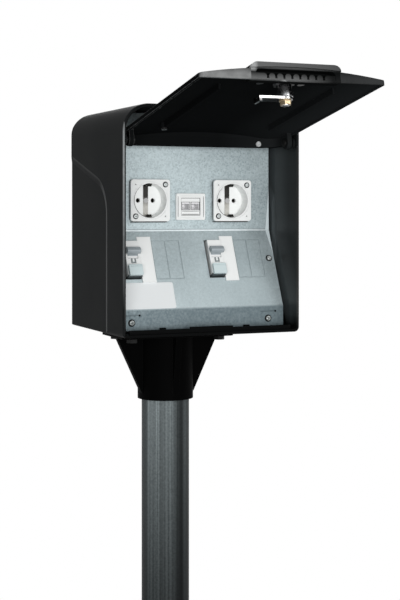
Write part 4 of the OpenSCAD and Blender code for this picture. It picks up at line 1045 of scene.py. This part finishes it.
# half width, half height, middle X, middle Z and face of each bar
BARS_MM = [
    (0.35, 12.6, -16.7, 0.0, COVER_MM),
    (0.35, 12.6, 16.7, 0.0, COVER_MM),
    (11.4, 0.3, 0.0, -5.3, INSERT_MM),
    (11.4, 0.3, 0.0, -9.2, INSERT_MM),
]
CORNERS = np.array([[-1, -1], [1, -1], [1, 1], [-1, 1], [-1, -1]], float)


def gap_shade_ring(half_x, half_z, mid_x, mid_z):
    """Ring between an outer and an inner rectangle, a little proud of the insert and a
    little let in: four mitred corners of a square section."""
    half = np.array([half_x, half_z])
    outer, inner = CORNERS * (half + SEAM_MM / 2), CORNERS * (half - SEAM_MM / 2)
    flat = np.stack([outer, inner, inner, outer, outer]) + np.array([mid_x, mid_z])
    lift = np.array([PROUD_MM, PROUD_MM, LET_IN_MM, LET_IN_MM, PROUD_MM])[:, None] + INSERT_MM
    ring = np.stack([flat[..., 0], np.broadcast_to(lift, flat.shape[:2]), flat[..., 1]], axis=-1)
    return in_box(ring + OUTLET_MM)


gap_shades = [gap_shade_ring(*ring) for ring in RINGS_MM] + [
    facing_front(thin_plate(half_x, half_z, BAR_MM), OUTLET_MM + [x, face, z])
    for half_x, half_z, x, z, face in BARS_MM
]
piece_from_grids("outlet_gap_shade", gap_shades, "shade_grey")

# %% [markdown]
# ## Flags of the switches
# A small window between toggle and key shows whether the contacts are closed. It is covered
# by a grey plate, and a white tongue on the plate is the flag itself.

# %% Switch flags
SWITCH_X_MM, NOSE_MM, FLAG_MM = (-82.4, 25.0), 5.0, 0.12
# half width, half height and way down the slope
WINDOW_MM, TONGUE_MM = (3.0, 3.0, 40.5), (1.2, 2.1, 39.6)


def flag_plates(half_x, half_y, down, high):
    """One thin plate on each switch, down the slope and a given height above the sheet."""
    plate = thin_plate(half_x, half_y, FLAG_MM)
    return [on_slope(plate + np.array([x, -down, high])) for x in SWITCH_X_MM]


windows = flag_plates(*WINDOW_MM, NOSE_MM)
tongues = flag_plates(*TONGUE_MM, NOSE_MM + FLAG_MM)
piece_from_grids("flag_windows", windows, "flag_grey")
piece_from_grids("switch_flags", tongues, "white_plastic")

# %% [markdown]
# ## Pressed edges at the bend
# Where the sheet bends, the press draws its two side edges forward. That leaves a bright
# facet on each edge, widest at the bend and running out above and below it. Each facet is a
# three-sided profile carried down the edge: its inner corner lies on the sheet, and its outer
# corner stands proud.

# %% Pressed edges
EDGE_X_MM, EDGE_UP_MM, EDGE_DOWN_MM, EDGE_WIDE_MM = 104.5, 54.0, 36.0, 5.0
EDGE_LIFT_MM, EDGE_RISE = 0.04, 0.2
run = np.linspace(-EDGE_UP_MM, EDGE_DOWN_MM, 61)
wide = EDGE_WIDE_MM * np.where(run < 0.0, 1.0 + run / EDGE_UP_MM, 1.0 - run / EDGE_DOWN_MM)


def pressed_edge(side):
    """Profile corners (inner, outer top, outer foot) at every step down the edge."""
    inner, outer = EDGE_X_MM - wide, np.full_like(wide, EDGE_X_MM)
    across = side * np.stack([inner, outer, outer, inner], axis=1)
    lift = EDGE_LIFT_MM * np.minimum(wide, 1.0)
    proud = np.stack([lift, lift + EDGE_RISE * wide, 0.0 * wide, lift], axis=1)
    down = np.repeat(run[:, None], 4, axis=1)
    above = in_box(np.stack([across, BEND_MM[1] - proud, BEND_MM[2] - down], axis=-1))
    below = on_slope(np.stack([across, -down, proud], axis=-1))
    return np.where((down < 0.0)[..., None], above, below)


pressed = [pressed_edge(side) for side in (-1.0, 1.0)]
piece_from_grids("pressed_edges", pressed, "pressed_zinc")

# %% [markdown]
# ## Crease of the bend
# A press brake leaves a small round in the hollow of the bend, and it catches the light as one
# thin line across the panel. It is a quarter-like arc between two points of contact, one on
# the upright and one on the slope, closed behind by the bend itself and swept across.

# %% Crease across the panel
CREASE_MM, CREASE_PROUD_MM = 1.3, 0.02
CREASE_BACK_MM = np.array([[0.0, 0.3, -0.3]])
CREASE_X_MM = np.linspace(-104.4, 104.4, 25)
share = np.linspace(0.0, 1.0, 9)
top_point = np.array([0.0, -CREASE_PROUD_MM, CREASE_MM])
low_point = CREASE_MM * SLOPE_WAY + CREASE_PROUD_MM * SLOPE_OUT
arc = np.outer((1.0 - share) ** 2, top_point) + np.outer(share**2, low_point)
profile = np.concatenate([arc, CREASE_BACK_MM, arc[:1]])
sweep = profile[:, None, :] + np.outer(CREASE_X_MM, [1.0, 0.0, 0.0])[None]
middles = np.broadcast_to(sweep[:-1].mean(axis=0), sweep.shape)
end_caps = [np.stack([sweep[:, end], middles[:, end]]) for end in (0, -1)]
crease = [in_box(grid + BEND_MM) for grid in [sweep] + end_caps]
piece_from_grids("bend_crease", crease, "crease_zinc")

# %% [markdown]
# ## Studio
# The photograph has soft light from the front on a white ground. The world is a plain dim
# dome; for the camera and for mirror rays it is white. Big area lamps do the modelling: most
# comes from the front, and one at the front left reaches into the wells of the sockets. A
# pale round floor takes the shadow.

# %% World
DOME_LIGHT = 0.22

world = bpy.data.worlds.new("studio")
bpy.context.scene.world = world
world.use_nodes = True
world.node_tree.nodes.clear()
sky = Nodes(world.node_tree)
dome = sky.add("Background", Color=rgba(0.95, 0.98, 1.0), Strength=DOME_LIGHT)
white = sky.add("Background", Color=rgba(1.0), Strength=1.0)
path = sky.add("LightPath").outputs
mirrored = sky.maths("MAXIMUM", path["Is Glossy Ray"], path["Is Transmission Ray"])
blend = sky.add("MixShader", Fac=sky.maths("MAXIMUM", path["Is Camera Ray"], mirrored))
sky.feed(blend.inputs[1], dome.outputs["Background"])
sky.feed(blend.inputs[2], white.outputs["Background"])
sky.add("OutputWorld", Surface=blend.outputs["Shader"])
print("dome light", DOME_LIGHT)

# %% Lamps
AIM = Vector((0.0, -0.12, 1.14))
# place, size in metres and power in watts of each lamp
LAMPS = {
    "front": ((-0.22, -3.62, 1.02), 1.35, 60.0),
    "front left": ((-1.75, -2.75, 1.2), 1.0, 22.0),
    "high right": ((0.92, -1.92, 2.14), 0.8, 7.0),
    "left": ((-2.3, -0.5, 1.0), 0.9, 1.0),
    "back": ((0.9, 1.9, 1.9), 1.2, 14.0),
}
for name, (place, size, power) in LAMPS.items():
    lamp = bpy.data.lights.new(name, "AREA")
    lamp.size = size
    lamp.energy = power
    holder = bpy.data.objects.new(name, lamp)
    holder.location = place
    holder.rotation_euler = (AIM - Vector(place)).to_track_quat("-Z", "Y").to_euler()
    bpy.context.scene.collection.objects.link(holder)
print("lamps:", ", ".join(LAMPS))

# %% Floor
FLOOR_RADIUS, FLOOR_Z, FLOOR_TURNS = 1.5, -0.0005, 96
turn = np.linspace(0.0, 2.0 * np.pi, FLOOR_TURNS + 1)
radius = np.array([1e-4, 0.5, 1.0]) * FLOOR_RADIUS
x, y = np.outer(radius, np.cos(turn)), np.outer(radius, np.sin(turn))
disc = np.stack([x, y, np.full_like(x, FLOOR_Z)], axis=-1)
floor = bpy.data.objects.new("floor", mesh_of("floor", [disc]))
bpy.context.scene.collection.objects.link(floor)
floor_finish = bpy.data.materials.new("floor_pale")
floor_finish.use_nodes = True
floor_shader = floor_finish.node_tree.nodes["Principled BSDF"]
floor_shader.inputs["Base Color"].default_value = rgba(0.86)
floor_shader.inputs["Roughness"].default_value = 0.9
floor.data.materials.append(floor_finish)
print("floor radius", FLOOR_RADIUS)
